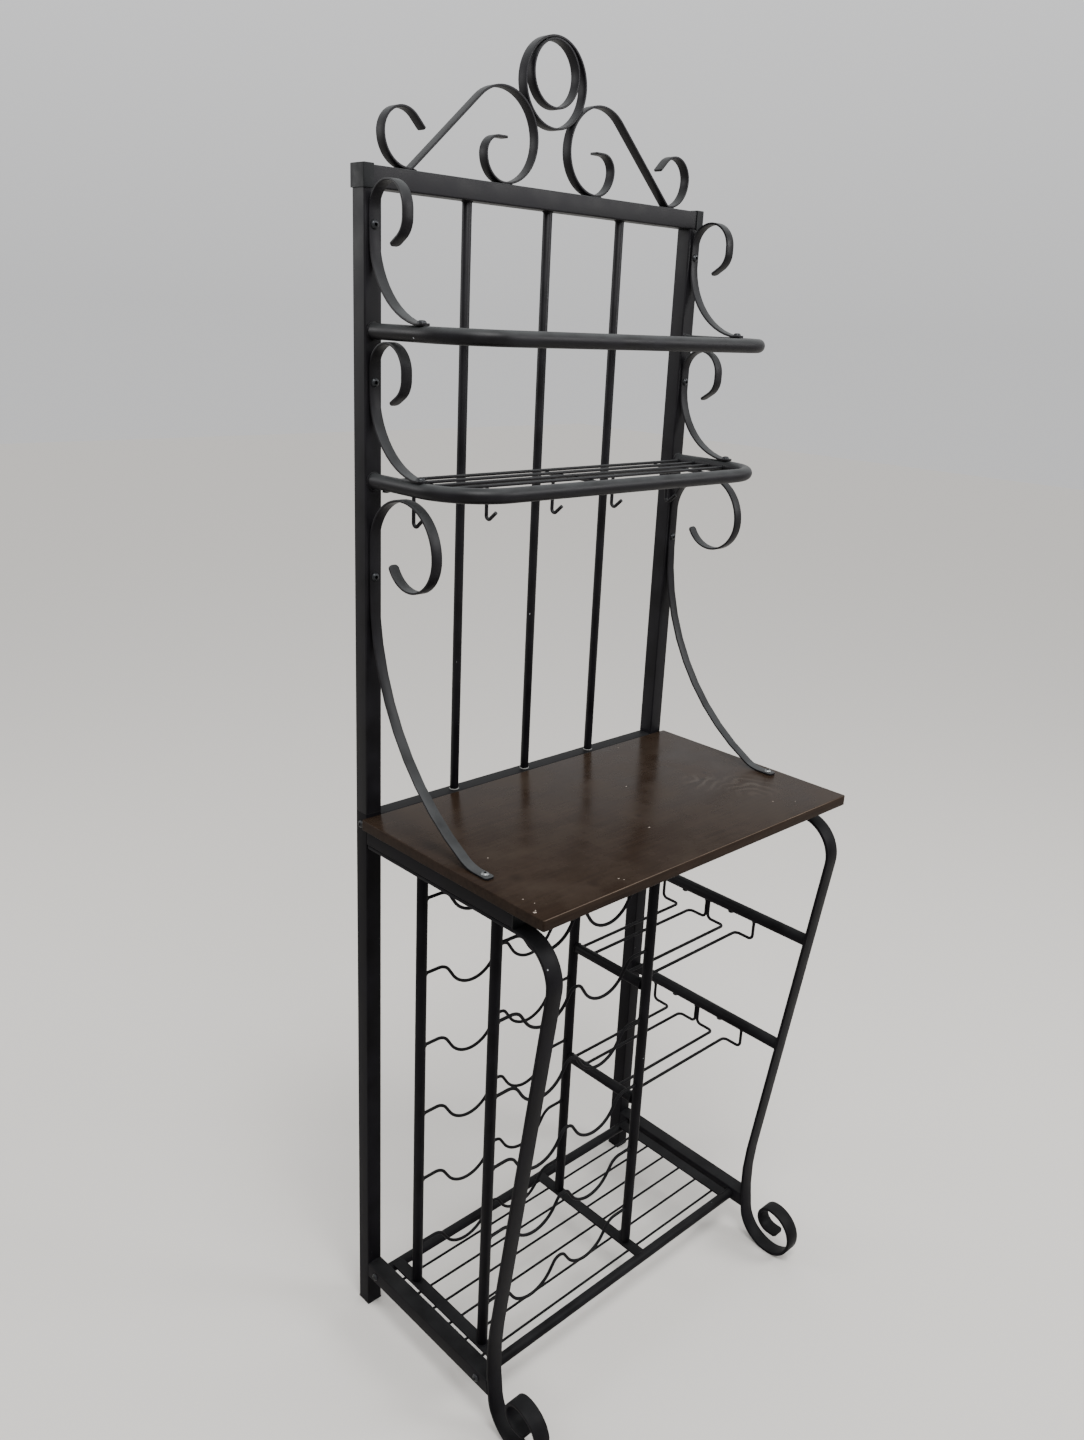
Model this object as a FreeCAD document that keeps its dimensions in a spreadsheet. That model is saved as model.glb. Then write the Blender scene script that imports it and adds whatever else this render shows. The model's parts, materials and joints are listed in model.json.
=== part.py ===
"""Bakers rack: steel back frame, wood worktop on two bent legs, wire shelves, wine and glass racks.

Millimetres. +X is the user's right, +Y the back, +Z up. The origin is on the floor, in the middle
of the rack's width and depth. Every size is a cell of the sheet "Sizes".
"""
import FreeCAD
import Part
import Sketcher
import math
import os
import re

SIZES = {
    # Back frame: posts and rails of square tube, split above the worktop
    "frame_width": 608,
    "frame_height": 1668,
    "tube_side": 25,
    "tube_wall": 1.2,
    "post_split": 855,
    "joiner_length": 120,
    "joiner_wall": 1.5,
    "joiner_play": 0.2,
    "joint_screw_drop": 18,
    "plug_flange": 2,
    "plug_depth": 14,
    "plug_play": 0.2,
    "cap_wall": 1.5,
    "cap_reach": 13,
    "back_bar_diameter": 12.7,
    "back_bar_wall": 1,
    # Worktop and the square rails under its sides
    "worktop_overhang": 8.5,
    "worktop_depth": 364,
    "worktop_thick": 15,
    "worktop_height": 850,
    "worktop_corner": 3,
    "worktop_rail_length": 300,
    "worktop_screw_rear": 55,
    "worktop_screw_front": 250,
    # Legs: flat bar, bent along its middle line
    "leg_thick": 5,
    "foot_reach": 350,
    "knee_radius": 55.5,
    "knee_lean": 7.54,
    "shin_radius": 415.5,
    "shin_splay": 10,
    "heel_radius": 57.5,
    "toe_radius": 41.5,
    "toe_roll_radius": 21.5,
    "toe_tail": 14,
    # Flat strip of the brackets and the crest
    "strip_thick": 3,
    "strip_width": 15,
    "strip_end_radius": 5,
    # Small bracket, on a shelf hoop
    "small_tab": 14,
    "small_bend_radius": 13.5,
    "small_bend_angle": 10,
    "small_sweep_radius": 103.5,
    "small_rise": 20,
    "small_loop_radius": 32.5,
    "small_drop": 7.5,
    "small_curl_radius": 25,
    "small_curl_angle": 58,
    "small_tail": 17,
    "small_screw_rise": 5.6,
    "small_tab_screw": 8.4,
    # Large bracket, on the worktop
    "large_tab": 24,
    "large_bend_radius": 57.5,
    "large_bend_angle": 27,
    "large_sweep_radius": 355.5,
    "large_rise": 52.3,
    "large_loop_radius": 63.8,
    "large_drop": 0.5,
    "large_curl_radius": 46,
    "large_curl_angle": 151,
    "large_tail": 4,
    "large_screw_rise": 10.8,
    "large_tab_screw": 11,
    # Crest: two rings between two scrolls
    "outer_ring_radius": 54.7,
    "inner_ring_radius": 41,
    "ring_rise": 127,
    "crest_tip": 14,
    "crest_curl_radius": 20.5,
    "crest_turn_radius": 32.5,
    "crest_belly_radius": 52.5,
    "crest_arch_radius": 57.5,
    "crest_slope": 42,
    "crest_foot_radius": 8,
    "crest_tail_turn_radius": 37.5,
    "crest_tail_curl_radius": 28.5,
    "crest_tail_curl_angle": 135,
    "crest_tail": 17,
    "crest_end_radius": 2,
    # Wire shelves on tube hoops
    "top_shelf_height": 1485,
    "middle_shelf_height": 1307,
    "hoop_diameter": 19,
    "hoop_wall": 1.2,
    "hoop_reach": 173,
    "hoop_corner": 76,
    "shelf_wire_diameter": 4.5,
    "shelf_wire_start": 10,
    "shelf_wire_pitch": 29.4,
    "shelf_cross_spread": 230,
    "shelf_cross_nub": 4,
    # Hooks under the middle shelf
    "hook_rod_setback": 22,
    "hook_rod_inset": 2,
    "hook_pitch": 122.5,
    "hook_diameter": 5,
    "hook_shank": 41,
    "hook_radius": 5,
    "hook_angle": 130,
    "hook_tail": 15,
    # Bottom shelf
    "bottom_height": 69,
    "bottom_tube_diameter": 16,
    "bottom_tube_wall": 1.2,
    "bottom_tube_rear": 19,
    "bottom_tube_front": 264,
    "nut_depth": 14,
    "nut_play": 0.1,
    "flat_bar_width": 20,
    "flat_bar_thick": 3,
    "bottom_wire_diameter": 4,
    "bottom_wire_start": 53,
    "bottom_wire_pitch": 38,
    "bottom_wire_nub": 3,
    # Wine rack, from the left side to the divider
    "rack_side_gap": 7,
    "rack_width": 309,
    "upright_diameter": 16,
    "upright_wall": 1,
    "upright_rear": 72,
    "upright_front": 228,
    "rest_wire_diameter": 5,
    "rest_bottom": 146.5,
    "rest_pitch": 118.9,
    "dip_radius": 46,
    "dip_angle": 57,
    "slope_run": 13.4,
    "crest_bend_radius": 14.3,
    "shoulder_bend_radius": 23,
    # Glass rack, from the divider to the right side
    "glass_tube_diameter": 19,
    "glass_tube_wall": 1.2,
    "glass_upper_height": 601,
    "glass_lower_height": 395,
    "glass_drop": 43,
    "glass_slot_rear": 96,
    "glass_slot_pitch": 99,
    "glass_slot_half": 13,
    "glass_wire_diameter": 5,
    "glass_bend_radius": 8,
    # Screws and their fits
    "machine_shank": 6,
    "machine_length": 16,
    "button_diameter": 11,
    "button_height": 3.4,
    "button_edge": 1.2,
    "socket_width": 4,
    "socket_depth": 2,
    "wood_shank": 4.5,
    "wood_bite": 11,
    "screw_play": 0.2,
    "insert_diameter": 9,
    "insert_length": 11,
    "weld_gap": 0.1,
}
BACK_BARS = 3
SHELF_WIRES = 4
BOTTOM_WIRES = 6
REST_LEVELS = 6
SIDES = {"left": -1, "right": 1}

doc = FreeCAD.newDocument("bakers_rack")
sheet = doc.addObject("Spreadsheet::Sheet", "Sizes")
for row, (alias, size) in enumerate(SIZES.items(), start=1):
    sheet.set(f"A{row}", alias)
    sheet.set(f"B{row}", str(size))
    sheet.setAlias(f"B{row}", alias)
doc.recompute()

nodes = []


# Sizes, places and directions

def bound(text):
    """The expression for a text in which the sheet's aliases stand bare."""
    return re.sub(r"[a-z]\w*", lambda word: "Sizes." + word[0] if word[0] in SIZES else word[0], text)


def number(text):
    value = sheet.evalExpression(bound(text))
    return float(getattr(value, "Value", value))


def bind(thing, **sizes):
    for field, text in sizes.items():
        thing.setExpression(field, bound(text))
    return thing


AXIS_X = FreeCAD.Vector(1, 0, 0)
AXIS_Y = FreeCAD.Vector(0, 1, 0)
AXIS_Z = FreeCAD.Vector(0, 0, 1)
# Turns that point a piece's own +Z the way named
TOWARDS = {
    "right": FreeCAD.Rotation(AXIS_Y, 90),
    "left": FreeCAD.Rotation(AXIS_Y, -90),
    "back": FreeCAD.Rotation(AXIS_X, -90),
    "up": FreeCAD.Rotation(),
    "down": FreeCAD.Rotation(AXIS_X, 180),
}


def lying(along, leftward):
    """The turn that lays a bent piece's own +X along one axis and its own +Y along another."""
    return FreeCAD.Rotation(along, leftward, along.cross(leftward), "XYZ")


def place(thing, at, turn=FreeCAD.Rotation()):
    thing.Placement = FreeCAD.Placement(FreeCAD.Vector(), turn)
    for axis, text in zip("xyz", at):
        thing.setExpression("Placement.Base." + axis, bound(text))
    return thing


# Solids

def box(name, low, size):
    solid = bind(doc.addObject("Part::Box", name), Length=size[0], Width=size[1], Height=size[2])
    return place(solid, low)


def rod(name, at, towards, diameter, length):
    solid = bind(doc.addObject("Part::Cylinder", name), Radius=f"({diameter}) / 2", Height=length)
    return place(solid, at, TOWARDS[towards])


def cut(name, base, *tools):
    solid = doc.addObject("Part::Cut", name)
    solid.Base = base
    solid.Tool = tools[0] if len(tools) == 1 else group(name + "_tools", tools)
    return solid


def fuse(name, *solids):
    union = doc.addObject("Part::MultiFuse", name)
    union.Shapes = solids
    union.Refine = True
    return union


def group(name, pieces):
    """One node for several separate solids."""
    together = doc.addObject("Part::Compound", name)
    together.Links = pieces
    return together


def copies(name, piece, places, turn=FreeCAD.Rotation()):
    links = []
    for count, at in enumerate(places, start=1):
        link = doc.addObject("App::Link", f"{name}_{count}")
        link.LinkedObject = piece
        link.LinkTransform = True
        links.append(place(link, at, turn))
    return links


def tube(name, at, towards, diameter, wall, length):
    outside = rod(name + "_outside", at, towards, diameter, length)
    bore = rod(name + "_bore", at, towards, f"{diameter} - 2 * {wall}", length)
    return cut(name, outside, bore)


def square_tube(name, axis, low, side, wall, length):
    """Square tube from its low corner, open at both ends, along axis 0, 1 or 2."""
    outside = [length if i == axis else side for i in range(3)]
    inside = [length if i == axis else f"{side} - 2 * ({wall})" for i in range(3)]
    inner_low = [text if i == axis else f"{text} + {wall}" for i, text in enumerate(low)]
    return cut(name, box(name + "_outside", low, outside), box(name + "_bore", inner_low, inside))


def node(solid):
    """Marks a finished sub-part: its Label names its file."""
    solid.Label = solid.Name
    nodes.append(solid)
    return solid


# Bent pieces: one profile swept along lines and arcs that join without a corner

def plane(body, role):
    return next(feature for feature in body.Origin.OriginFeatures if feature.Role == role)


def sketch_on(body, name, role):
    sketch = body.newObject("Sketcher::SketchObject", name)
    sketch.AttachmentSupport = (plane(body, role), [""])
    sketch.MapMode = "FlatFace"
    return sketch


def dimension(sketch, text, kind, *where):
    value = number(text)
    if kind == "Angle":
        value = math.radians(value)
    index = sketch.addConstraint(Sketcher.Constraint(kind, *where, value))
    sketch.setExpression(f"Constraints[{index}]", bound(text))


def add_path(sketch, steps):
    """Runs and turns from the sketch's origin along its +X. Returns where they end, and the heading."""
    here, heading, last = FreeCAD.Vector(), 0.0, None
    for edge, (kind, *sizes) in enumerate(steps):
        if kind == "run":
            there = here + FreeCAD.Vector(math.cos(heading), math.sin(heading), 0) * number(sizes[0])
            sketch.addGeometry(Part.LineSegment(here, there))
            dimension(sketch, sizes[0], "Distance", edge)
            here, first, second = there, 1, 2
        else:
            side = 1 if kind == "left" else -1
            radius, turn = number(sizes[0]), side * math.radians(number(sizes[1]))
            leftward = FreeCAD.Vector(-math.sin(heading), math.cos(heading), 0)
            centre = here + leftward * radius * side
            start = heading - side * math.pi / 2
            circle = Part.Circle(centre, AXIS_Z, radius)
            sketch.addGeometry(Part.ArcOfCircle(circle, min(start, start + turn), max(start, start + turn)))
            dimension(sketch, sizes[0], "Radius", edge)
            dimension(sketch, sizes[1], "Angle", edge)
            heading += turn
            here = centre + FreeCAD.Vector(math.sin(heading), -math.cos(heading), 0) * radius * side
            first, second = (1, 2) if side > 0 else (2, 1)
        if last is None:
            sketch.addConstraint(Sketcher.Constraint("Coincident", edge, first, -1, 1))
            sketch.addConstraint(Sketcher.Constraint("Horizontal", edge))
        else:
            sketch.addConstraint(Sketcher.Constraint("Tangent", *last, edge, first))
        last = (edge, second)
    return here


def add_round(sketch, diameter):
    index = sketch.addGeometry(Part.Circle(FreeCAD.Vector(), AXIS_Z, number(diameter) / 2))
    sketch.addConstraint(Sketcher.Constraint("Coincident", index, 3, -1, 1))
    dimension(sketch, diameter, "Diameter", index)


def add_rectangle(sketch, width, height):
    """A rectangle centred on the sketch's origin."""
    x, y = number(width) / 2, number(height) / 2
    corners = [FreeCAD.Vector(*corner, 0) for corner in ((-x, -y), (x, -y), (x, y), (-x, y))]
    for edge in range(4):
        sketch.addGeometry(Part.LineSegment(corners[edge], corners[(edge + 1) % 4]))
    for edge in range(4):
        sketch.addConstraint(Sketcher.Constraint("Coincident", edge, 2, (edge + 1) % 4, 1))
        sketch.addConstraint(Sketcher.Constraint("Vertical" if edge % 2 else "Horizontal", edge))
    sketch.addConstraint(Sketcher.Constraint("Symmetric", 0, 1, 2, 1, -1, 1))
    dimension(sketch, width, "DistanceX", 0, 1, 0, 2)
    dimension(sketch, height, "DistanceY", 1, 1, 1, 2)


def bent(name, profile, steps, rounded=(), end_radius="strip_end_radius"):
    """A body swept along steps in its own XY plane, from its origin along +X.

    profile is (diameter,), (diameter, wall) or ("flat", thickness, width). The ends of a flat
    strip named in rounded ("start", "end") have their corners rounded to end_radius.
    """
    body = doc.addObject("PartDesign::Body", name)
    path = sketch_on(body, name + "_path", "XY_Plane")
    end = add_path(path, steps)
    section = sketch_on(body, name + "_section", "YZ_Plane")
    if profile[0] == "flat":
        add_rectangle(section, profile[1], profile[2])
    else:
        add_round(section, profile[0])
        if len(profile) > 1:
            add_round(section, f"{profile[0]} - 2 * {profile[1]}")
    sweep = body.newObject("PartDesign::AdditivePipe", name + "_sweep")
    sweep.Profile = section
    sweep.Spine = (path, [])
    path.Visibility = section.Visibility = False
    if rounded:
        body.recompute(True)
        tips = {"start": FreeCAD.Vector(), "end": end}
        near = number(profile[2])
        corners = [
            f"Edge{index}"
            for index, edge in enumerate(sweep.Shape.Edges, start=1)
            if abs(edge.Length - number(profile[1])) < 1e-4
            and any((edge.CenterOfMass - tips[tip]).Length < near for tip in rounded)
        ]
        rounding = body.newObject("PartDesign::Fillet", name + "_ends")
        rounding.Base = (sweep, corners)
        bind(rounding, Radius=end_radius)
    return body


# Screws: own origin under the head, own +Z from the head to the tip

def screw(name, shank, length):
    """A button-head screw with a domed head and a hexagonal socket."""
    cheek = "button_height - button_edge"
    dome_radius = f"((button_diameter / 2)^2 + ({cheek})^2) / (2 * ({cheek}))"
    blank = rod(name + "_blank", ("0", "0", "-button_height"), "up", "button_diameter", "button_height")
    dome = bind(doc.addObject("Part::Sphere", name + "_dome"), Radius=dome_radius)
    place(dome, ("0", "0", f"{dome_radius} - button_height"))
    head = doc.addObject("Part::Common", name + "_head")
    head.Base = blank
    head.Tool = dome
    socket = doc.addObject("Part::Prism", name + "_socket")
    bind(socket, Circumradius="socket_width / 2 / cos(30)", Height="socket_depth")
    place(socket, ("0", "0", "-button_height"))
    bolt = fuse(name + "_bolt", head, rod(name + "_shank", ("0", "0", "0"), "up", shank, length))
    return cut(name, bolt, socket)


MACHINE_HOLE = "machine_shank + 2 * screw_play"
WOOD_HOLE = "wood_shank + 2 * screw_play"
INSERT_HOLE = "insert_diameter + 2 * screw_play"

# Places that several pieces share. "Forward" is the distance in front of the posts' front faces.
POST_FRONT = "(foot_reach + toe_radius + leg_thick / 2 - tube_side - cap_wall) / 2"
POST_MIDDLE = f"({POST_FRONT} + tube_side / 2)"
POST_X = "(frame_width - tube_side) / 2"
INNER_X = "(frame_width / 2 - tube_side)"
RAIL_TOP = "(worktop_height - worktop_thick)"
RAIL_LOW = f"({RAIL_TOP} - tube_side)"
RACK_EDGE = f"({INNER_X} - rack_side_gap - flat_bar_width / 2)"
RACK_DIVIDER = f"(rack_width - {RACK_EDGE})"


def forward(text):
    return f"{POST_FRONT} - ({text})"


def across(side, text):
    """Text on the right, its mirror image on the left."""
    return f"{side} * ({text})"


def square_low(side):
    """The low X of a square tube in line with a post."""
    return f"{side} * {POST_X} - tube_side / 2"


machine_screw = screw("machine_screw", "machine_shank", "machine_length")
bracket_wood_screw = screw("bracket_wood_screw", "wood_shank", "strip_thick + wood_bite")
rail_wood_screw = screw("rail_wood_screw", "wood_shank", "leg_thick + tube_side + wood_bite")
bar_wood_screw = screw("bar_wood_screw", "wood_shank", "flat_bar_thick + wood_bite")
rail_bolt = screw("rail_bolt", "machine_shank", "tube_side + nut_depth - 2")


# Brackets: their reach and height follow from their bends

def bracket_reach(kind):
    """Forward distance of the tab's front end."""
    bend = f"{kind}_bend_radius * sin({kind}_bend_angle)"
    sweep = f"{kind}_sweep_radius * (1 - sin({kind}_bend_angle))"
    return f"(strip_thick / 2 + {kind}_tab + {bend} + {sweep})"


def bracket_screw_height(kind):
    """Height of the post screw above what the tab stands on."""
    bend = f"{kind}_bend_radius * (1 - cos({kind}_bend_angle))"
    sweep = f"{kind}_sweep_radius * cos({kind}_bend_angle)"
    return f"(strip_thick / 2 + {bend} + {sweep} + {kind}_screw_rise)"


# Name, kind and the height each pair of brackets stands at
BRACKETS = {
    "top_bracket": ("small", "(top_shelf_height + hoop_diameter / 2)"),
    "middle_bracket": ("small", "(middle_shelf_height + hoop_diameter / 2)"),
    "worktop_bracket": ("large", "worktop_height"),
}


def bracket_holes(name, side):
    """Places of a bracket's post screw and tab screw, on its faces away from post and tab rest."""
    kind, base = BRACKETS[name]
    x = across(side, POST_X)
    post = (x, forward("strip_thick"), f"{base} + {bracket_screw_height(kind)}")
    tab = (x, forward(f"{bracket_reach(kind)} - {kind}_tab_screw"), f"{base} + strip_thick")
    return post, tab


for name, (kind, base) in BRACKETS.items():
    for word, side in SIDES.items():
        strip = bent(
            f"{name}_{word}_strip",
            ("flat", "strip_thick", "strip_width"),
            [
                ("run", f"{kind}_tab"),
                ("left", f"{kind}_bend_radius", f"{kind}_bend_angle"),
                ("left", f"{kind}_sweep_radius", f"90 - {kind}_bend_angle"),
                ("run", f"{kind}_rise"),
                ("left", f"{kind}_loop_radius", "180"),
                ("run", f"{kind}_drop"),
                ("left", f"{kind}_curl_radius", f"{kind}_curl_angle"),
                ("run", f"{kind}_tail"),
            ],
            rounded=("start", "end"),
        )
        start = (across(side, POST_X), forward(bracket_reach(kind)), f"{base} + strip_thick / 2")
        place(strip, start, lying(AXIS_Y, AXIS_Z))
        post, tab = bracket_holes(name, side)
        tab_hole = WOOD_HOLE if kind == "large" else MACHINE_HOLE
        post_drill = rod(f"{name}_{word}_post_drill", post, "back", MACHINE_HOLE, "strip_thick + 1")
        tab_drill = rod(f"{name}_{word}_tab_drill", tab, "down", tab_hole, "strip_thick + 1")
        node(cut(f"{name}_{word}", strip, post_drill, tab_drill))

post_screw_places = [bracket_holes(name, side)[0] for name in BRACKETS for side in SIDES.values()]
shelf_screw_places = {
    name: [bracket_holes(name, side)[1] for side in SIDES.values()] for name in BRACKETS
}
node(group("bracket_post_screws", copies(
    "bracket_post_screw", machine_screw, post_screw_places, TOWARDS["back"])))
node(group("bracket_shelf_screws", copies(
    "bracket_shelf_screw",
    machine_screw,
    shelf_screw_places["top_bracket"] + shelf_screw_places["middle_bracket"],
    TOWARDS["down"])))
node(group("bracket_worktop_screws", copies(
    "bracket_worktop_screw", bracket_wood_screw, shelf_screw_places["worktop_bracket"], TOWARDS["down"])))


# Back frame

joint_screw_height = "post_split - joint_screw_drop"
joiner_side = "(tube_side - 2 * tube_wall - 2 * joiner_play)"
joint_screw_places = {
    word: (across(side, "frame_width / 2"), POST_MIDDLE, joint_screw_height) for word, side in SIDES.items()
}
inward = {"left": "right", "right": "left"}

joiners = []
joint_screws = []
inserts = []
insert_blank = rod("insert_blank", ("0", "0", "0"), "up", "insert_diameter", "insert_length")
insert_bore = rod("insert_bore", ("0", "0", "0"), "up", MACHINE_HOLE, "insert_length")
insert = cut("threaded_insert", insert_blank, insert_bore)
for word, side in SIDES.items():
    drill = rod(f"joint_drill_{word}", joint_screw_places[word], inward[word], MACHINE_HOLE, "tube_side / 2")
    lower_low = (square_low(side), POST_FRONT, "plug_flange")
    lower = square_tube(
        f"lower_post_{word}_tube", 2, lower_low, "tube_side", "tube_wall", "post_split - plug_flange")
    node(cut(f"lower_post_{word}", lower, drill))

    insert_places = [
        (across(side, POST_X), POST_FRONT, f"{base} + {bracket_screw_height(kind)}")
        for kind, base in BRACKETS.values()
    ]
    insert_drills = [
        rod(f"insert_drill_{word}_{count}", at, "back", INSERT_HOLE, "tube_side / 2")
        for count, at in enumerate(insert_places, start=1)
    ]
    upper_low = (square_low(side), POST_FRONT, "post_split")
    upper = square_tube(
        f"upper_post_{word}_tube", 2, upper_low, "tube_side", "tube_wall",
        "frame_height - tube_side - post_split")
    node(cut(f"upper_post_{word}", upper, *insert_drills))
    inserts += copies(f"post_insert_{word}", insert, insert_places, TOWARDS["back"])

    joiner_low = (
        f"{side} * {POST_X} - {joiner_side} / 2",
        f"{POST_FRONT} + tube_wall + joiner_play",
        "post_split - joiner_length / 2",
    )
    sleeve = square_tube(
        f"joiner_{word}_tube", 2, joiner_low, joiner_side, "joiner_wall", "joiner_length")
    joiners.append(cut(f"joiner_{word}", sleeve, drill))
    joint_screws += copies(
        f"post_joint_screw_{word}", machine_screw, [joint_screw_places[word]], TOWARDS[inward[word]])

node(group("post_joiners", joiners))
node(group("post_joint_screws", joint_screws))
node(group("post_thread_inserts", inserts))

plug_side = "tube_side - 2 * tube_wall - 2 * plug_play"
plug_flange = box(
    "plug_flange", ("-tube_side / 2", "-tube_side / 2", "0"), ("tube_side", "tube_side", "plug_flange"))
plug_low = f"-({plug_side}) / 2"
plug_body = box("plug_body", (plug_low, plug_low, "plug_flange"), (plug_side, plug_side, "plug_depth"))
square_plug = fuse("square_plug", plug_flange, plug_body)
foot_places = [(across(side, POST_X), POST_MIDDLE, "0") for side in SIDES.values()]
node(group("post_foot_plugs", copies("post_foot_plug", square_plug, foot_places)))

node(square_tube(
    "rear_worktop_rail", 0, (f"-{INNER_X}", POST_FRONT, "worktop_height - tube_side"),
    "tube_side", "tube_wall", f"2 * {INNER_X}"))
node(square_tube(
    "top_rail", 0, ("-frame_width / 2", POST_FRONT, "frame_height - tube_side"),
    "tube_side", "tube_wall", "frame_width"))

caps = []
for word, side in SIDES.items():
    middle = f"{side} * (frame_width / 2 + (cap_wall - cap_reach) / 2)"
    shell = box(
        f"cap_{word}_outside",
        (f"{middle} - (cap_wall + cap_reach) / 2", f"{POST_FRONT} - cap_wall", "frame_height - tube_side"),
        ("cap_wall + cap_reach", "tube_side + 2 * cap_wall", "tube_side + cap_wall"))
    inside = box(
        f"cap_{word}_inside",
        ("-frame_width / 2", POST_FRONT, "frame_height - tube_side"),
        ("frame_width", "tube_side", "tube_side"))
    caps.append(cut(f"top_rail_cap_{word}", shell, inside))
node(group("top_rail_caps", caps))

back_bar = tube(
    "back_bar", ("0", POST_MIDDLE, "worktop_height"), "up", "back_bar_diameter", "back_bar_wall",
    "frame_height - tube_side - worktop_height")
back_bar_pitch = f"2 * {INNER_X} / {BACK_BARS + 1}"
back_bar_places = [
    (f"{count - (BACK_BARS - 1) / 2} * {back_bar_pitch}", "0", "0") for count in range(BACK_BARS)
]
node(group("back_bars", copies("back_bar_copy", back_bar, back_bar_places)))


# Crest: strips on edge, centred on the top rail

ring_height = "(frame_height + ring_rise)"
belly_height = "(frame_height + strip_thick / 2 + crest_belly_radius)"
arch_outside = "(crest_arch_radius + strip_thick / 2)"
ring_to_arch = f"(outer_ring_radius + {arch_outside} + weld_gap)"
arch_x = f"sqrt({ring_to_arch}^2 - ({ring_height} - {belly_height})^2)"
belly_x = f"(crest_arch_radius - crest_belly_radius - {arch_x})"
tip_x = f"{belly_x} - crest_turn_radius + crest_curl_radius + crest_tip"
tip_height = "frame_height + strip_thick / 2 + crest_curl_radius + crest_turn_radius"
slope_run = (
    "(crest_belly_radius + crest_arch_radius * cos(crest_slope)"
    " - crest_foot_radius * (1 - cos(crest_slope))) / sin(crest_slope)"
)
for word, side in SIDES.items():
    scroll = bent(
        f"crest_scroll_{word}",
        ("flat", "strip_thick", "strip_width"),
        [
            ("run", "crest_tip"),
            ("left", "crest_curl_radius", "90"),
            ("left", "crest_turn_radius", "90"),
            ("left", "crest_belly_radius", "90"),
            ("left", "crest_arch_radius", "90 + crest_slope"),
            ("run", slope_run),
            ("right", "crest_foot_radius", "crest_slope"),
            ("right", "crest_tail_turn_radius", "90"),
            ("right", "crest_tail_curl_radius", "crest_tail_curl_angle"),
            ("run", "crest_tail"),
        ],
        rounded=("start", "end"),
        end_radius="crest_end_radius",
    )
    outward = AXIS_X * side
    node(place(scroll, (across(-side, tip_x), POST_MIDDLE, tip_height), lying(outward, -AXIS_Z)))

inner_ring_height = f"{ring_height} + outer_ring_radius - strip_thick - weld_gap - inner_ring_radius"
for name, radius, height in (
    ("crest_outer_ring", "outer_ring_radius", ring_height),
    ("crest_inner_ring", "inner_ring_radius", inner_ring_height),
):
    at = ("0", f"{POST_MIDDLE} - strip_width / 2", height)
    disc = rod(name + "_disc", at, "back", f"2 * {radius}", "strip_width")
    hole = rod(name + "_hole", at, "back", f"2 * ({radius} - strip_thick)", "strip_width")
    node(cut(name, disc, hole))


# Shelves: a tube hoop from post to post, wires along it and cross bars under the wires

hoop_side = f"({POST_X} - hoop_diameter / 2 - weld_gap)"
cross_drop = "(shelf_wire_diameter + weld_gap)"
cross_end = "(hoop_reach - sqrt((hoop_diameter / 2)^2 - (shelf_wire_diameter / 2)^2) - weld_gap)"
cross_start = "(shelf_wire_start - shelf_cross_nub)"
for name in ("top", "middle"):
    height = f"{name}_shelf_height"
    hoop = bent(
        f"{name}_shelf_hoop_tube",
        ("hoop_diameter", "hoop_wall"),
        [
            ("run", "hoop_reach - hoop_corner"),
            ("left", "hoop_corner", "90"),
            ("run", f"2 * ({POST_X} - hoop_corner)"),
            ("left", "hoop_corner", "90"),
            ("run", "hoop_reach - hoop_corner"),
        ],
    )
    place(hoop, (f"-{POST_X}", POST_FRONT, height), lying(-AXIS_Y, AXIS_X))
    drills = [
        rod(f"{name}_hoop_drill_{count}", at, "down", MACHINE_HOLE, "strip_thick + 2 * hoop_wall")
        for count, at in enumerate(shelf_screw_places[f"{name}_bracket"], start=1)
    ]
    node(cut(f"{name}_shelf_hoop", hoop, *drills))

    wire = rod(
        f"{name}_shelf_wire", (f"-{hoop_side}", POST_FRONT, height), "right",
        "shelf_wire_diameter", f"2 * {hoop_side}")
    wire_places = [
        ("0", f"-(shelf_wire_start + {count} * shelf_wire_pitch)", "0") for count in range(SHELF_WIRES)
    ]
    node(group(f"{name}_shelf_wires", copies(f"{name}_shelf_wire_copy", wire, wire_places)))

    bar = rod(
        f"{name}_cross_bar", ("0", forward(cross_end), f"{height} - {cross_drop}"), "back",
        "shelf_wire_diameter", f"{cross_end} - {cross_start}")
    bar_places = [(f"{column} * shelf_cross_spread", "0", "0") for column in (-1, 0, 1)]
    node(group(f"{name}_shelf_cross_bars", copies(f"{name}_cross_bar_copy", bar, bar_places)))


# Hook rod and hooks under the middle shelf

hook_rod_height = f"(middle_shelf_height - 2 * {cross_drop})"
hook_rod_half = f"({POST_X} - hoop_diameter / 2 - hook_rod_inset)"
node(rod(
    "hook_rod", (f"-{hook_rod_half}", forward("hook_rod_setback"), hook_rod_height), "right",
    "shelf_wire_diameter", f"2 * {hook_rod_half}"))
hook = bent(
    "shelf_hook",
    ("hook_diameter",),
    [("run", "hook_shank"), ("right", "hook_radius", "hook_angle"), ("run", "hook_tail")],
)
hook_top = f"{hook_rod_height} - shelf_wire_diameter / 2 - weld_gap"
place(hook, ("0", forward("hook_rod_setback"), hook_top), lying(-AXIS_Z, AXIS_Y))
hook_places = [(f"{count} * hook_pitch", "0", "0") for count in range(-2, 3)]
node(group("shelf_hooks", copies("shelf_hook_copy", hook, hook_places)))


# Legs, and the shapes that trim what butts against their rear faces

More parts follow.
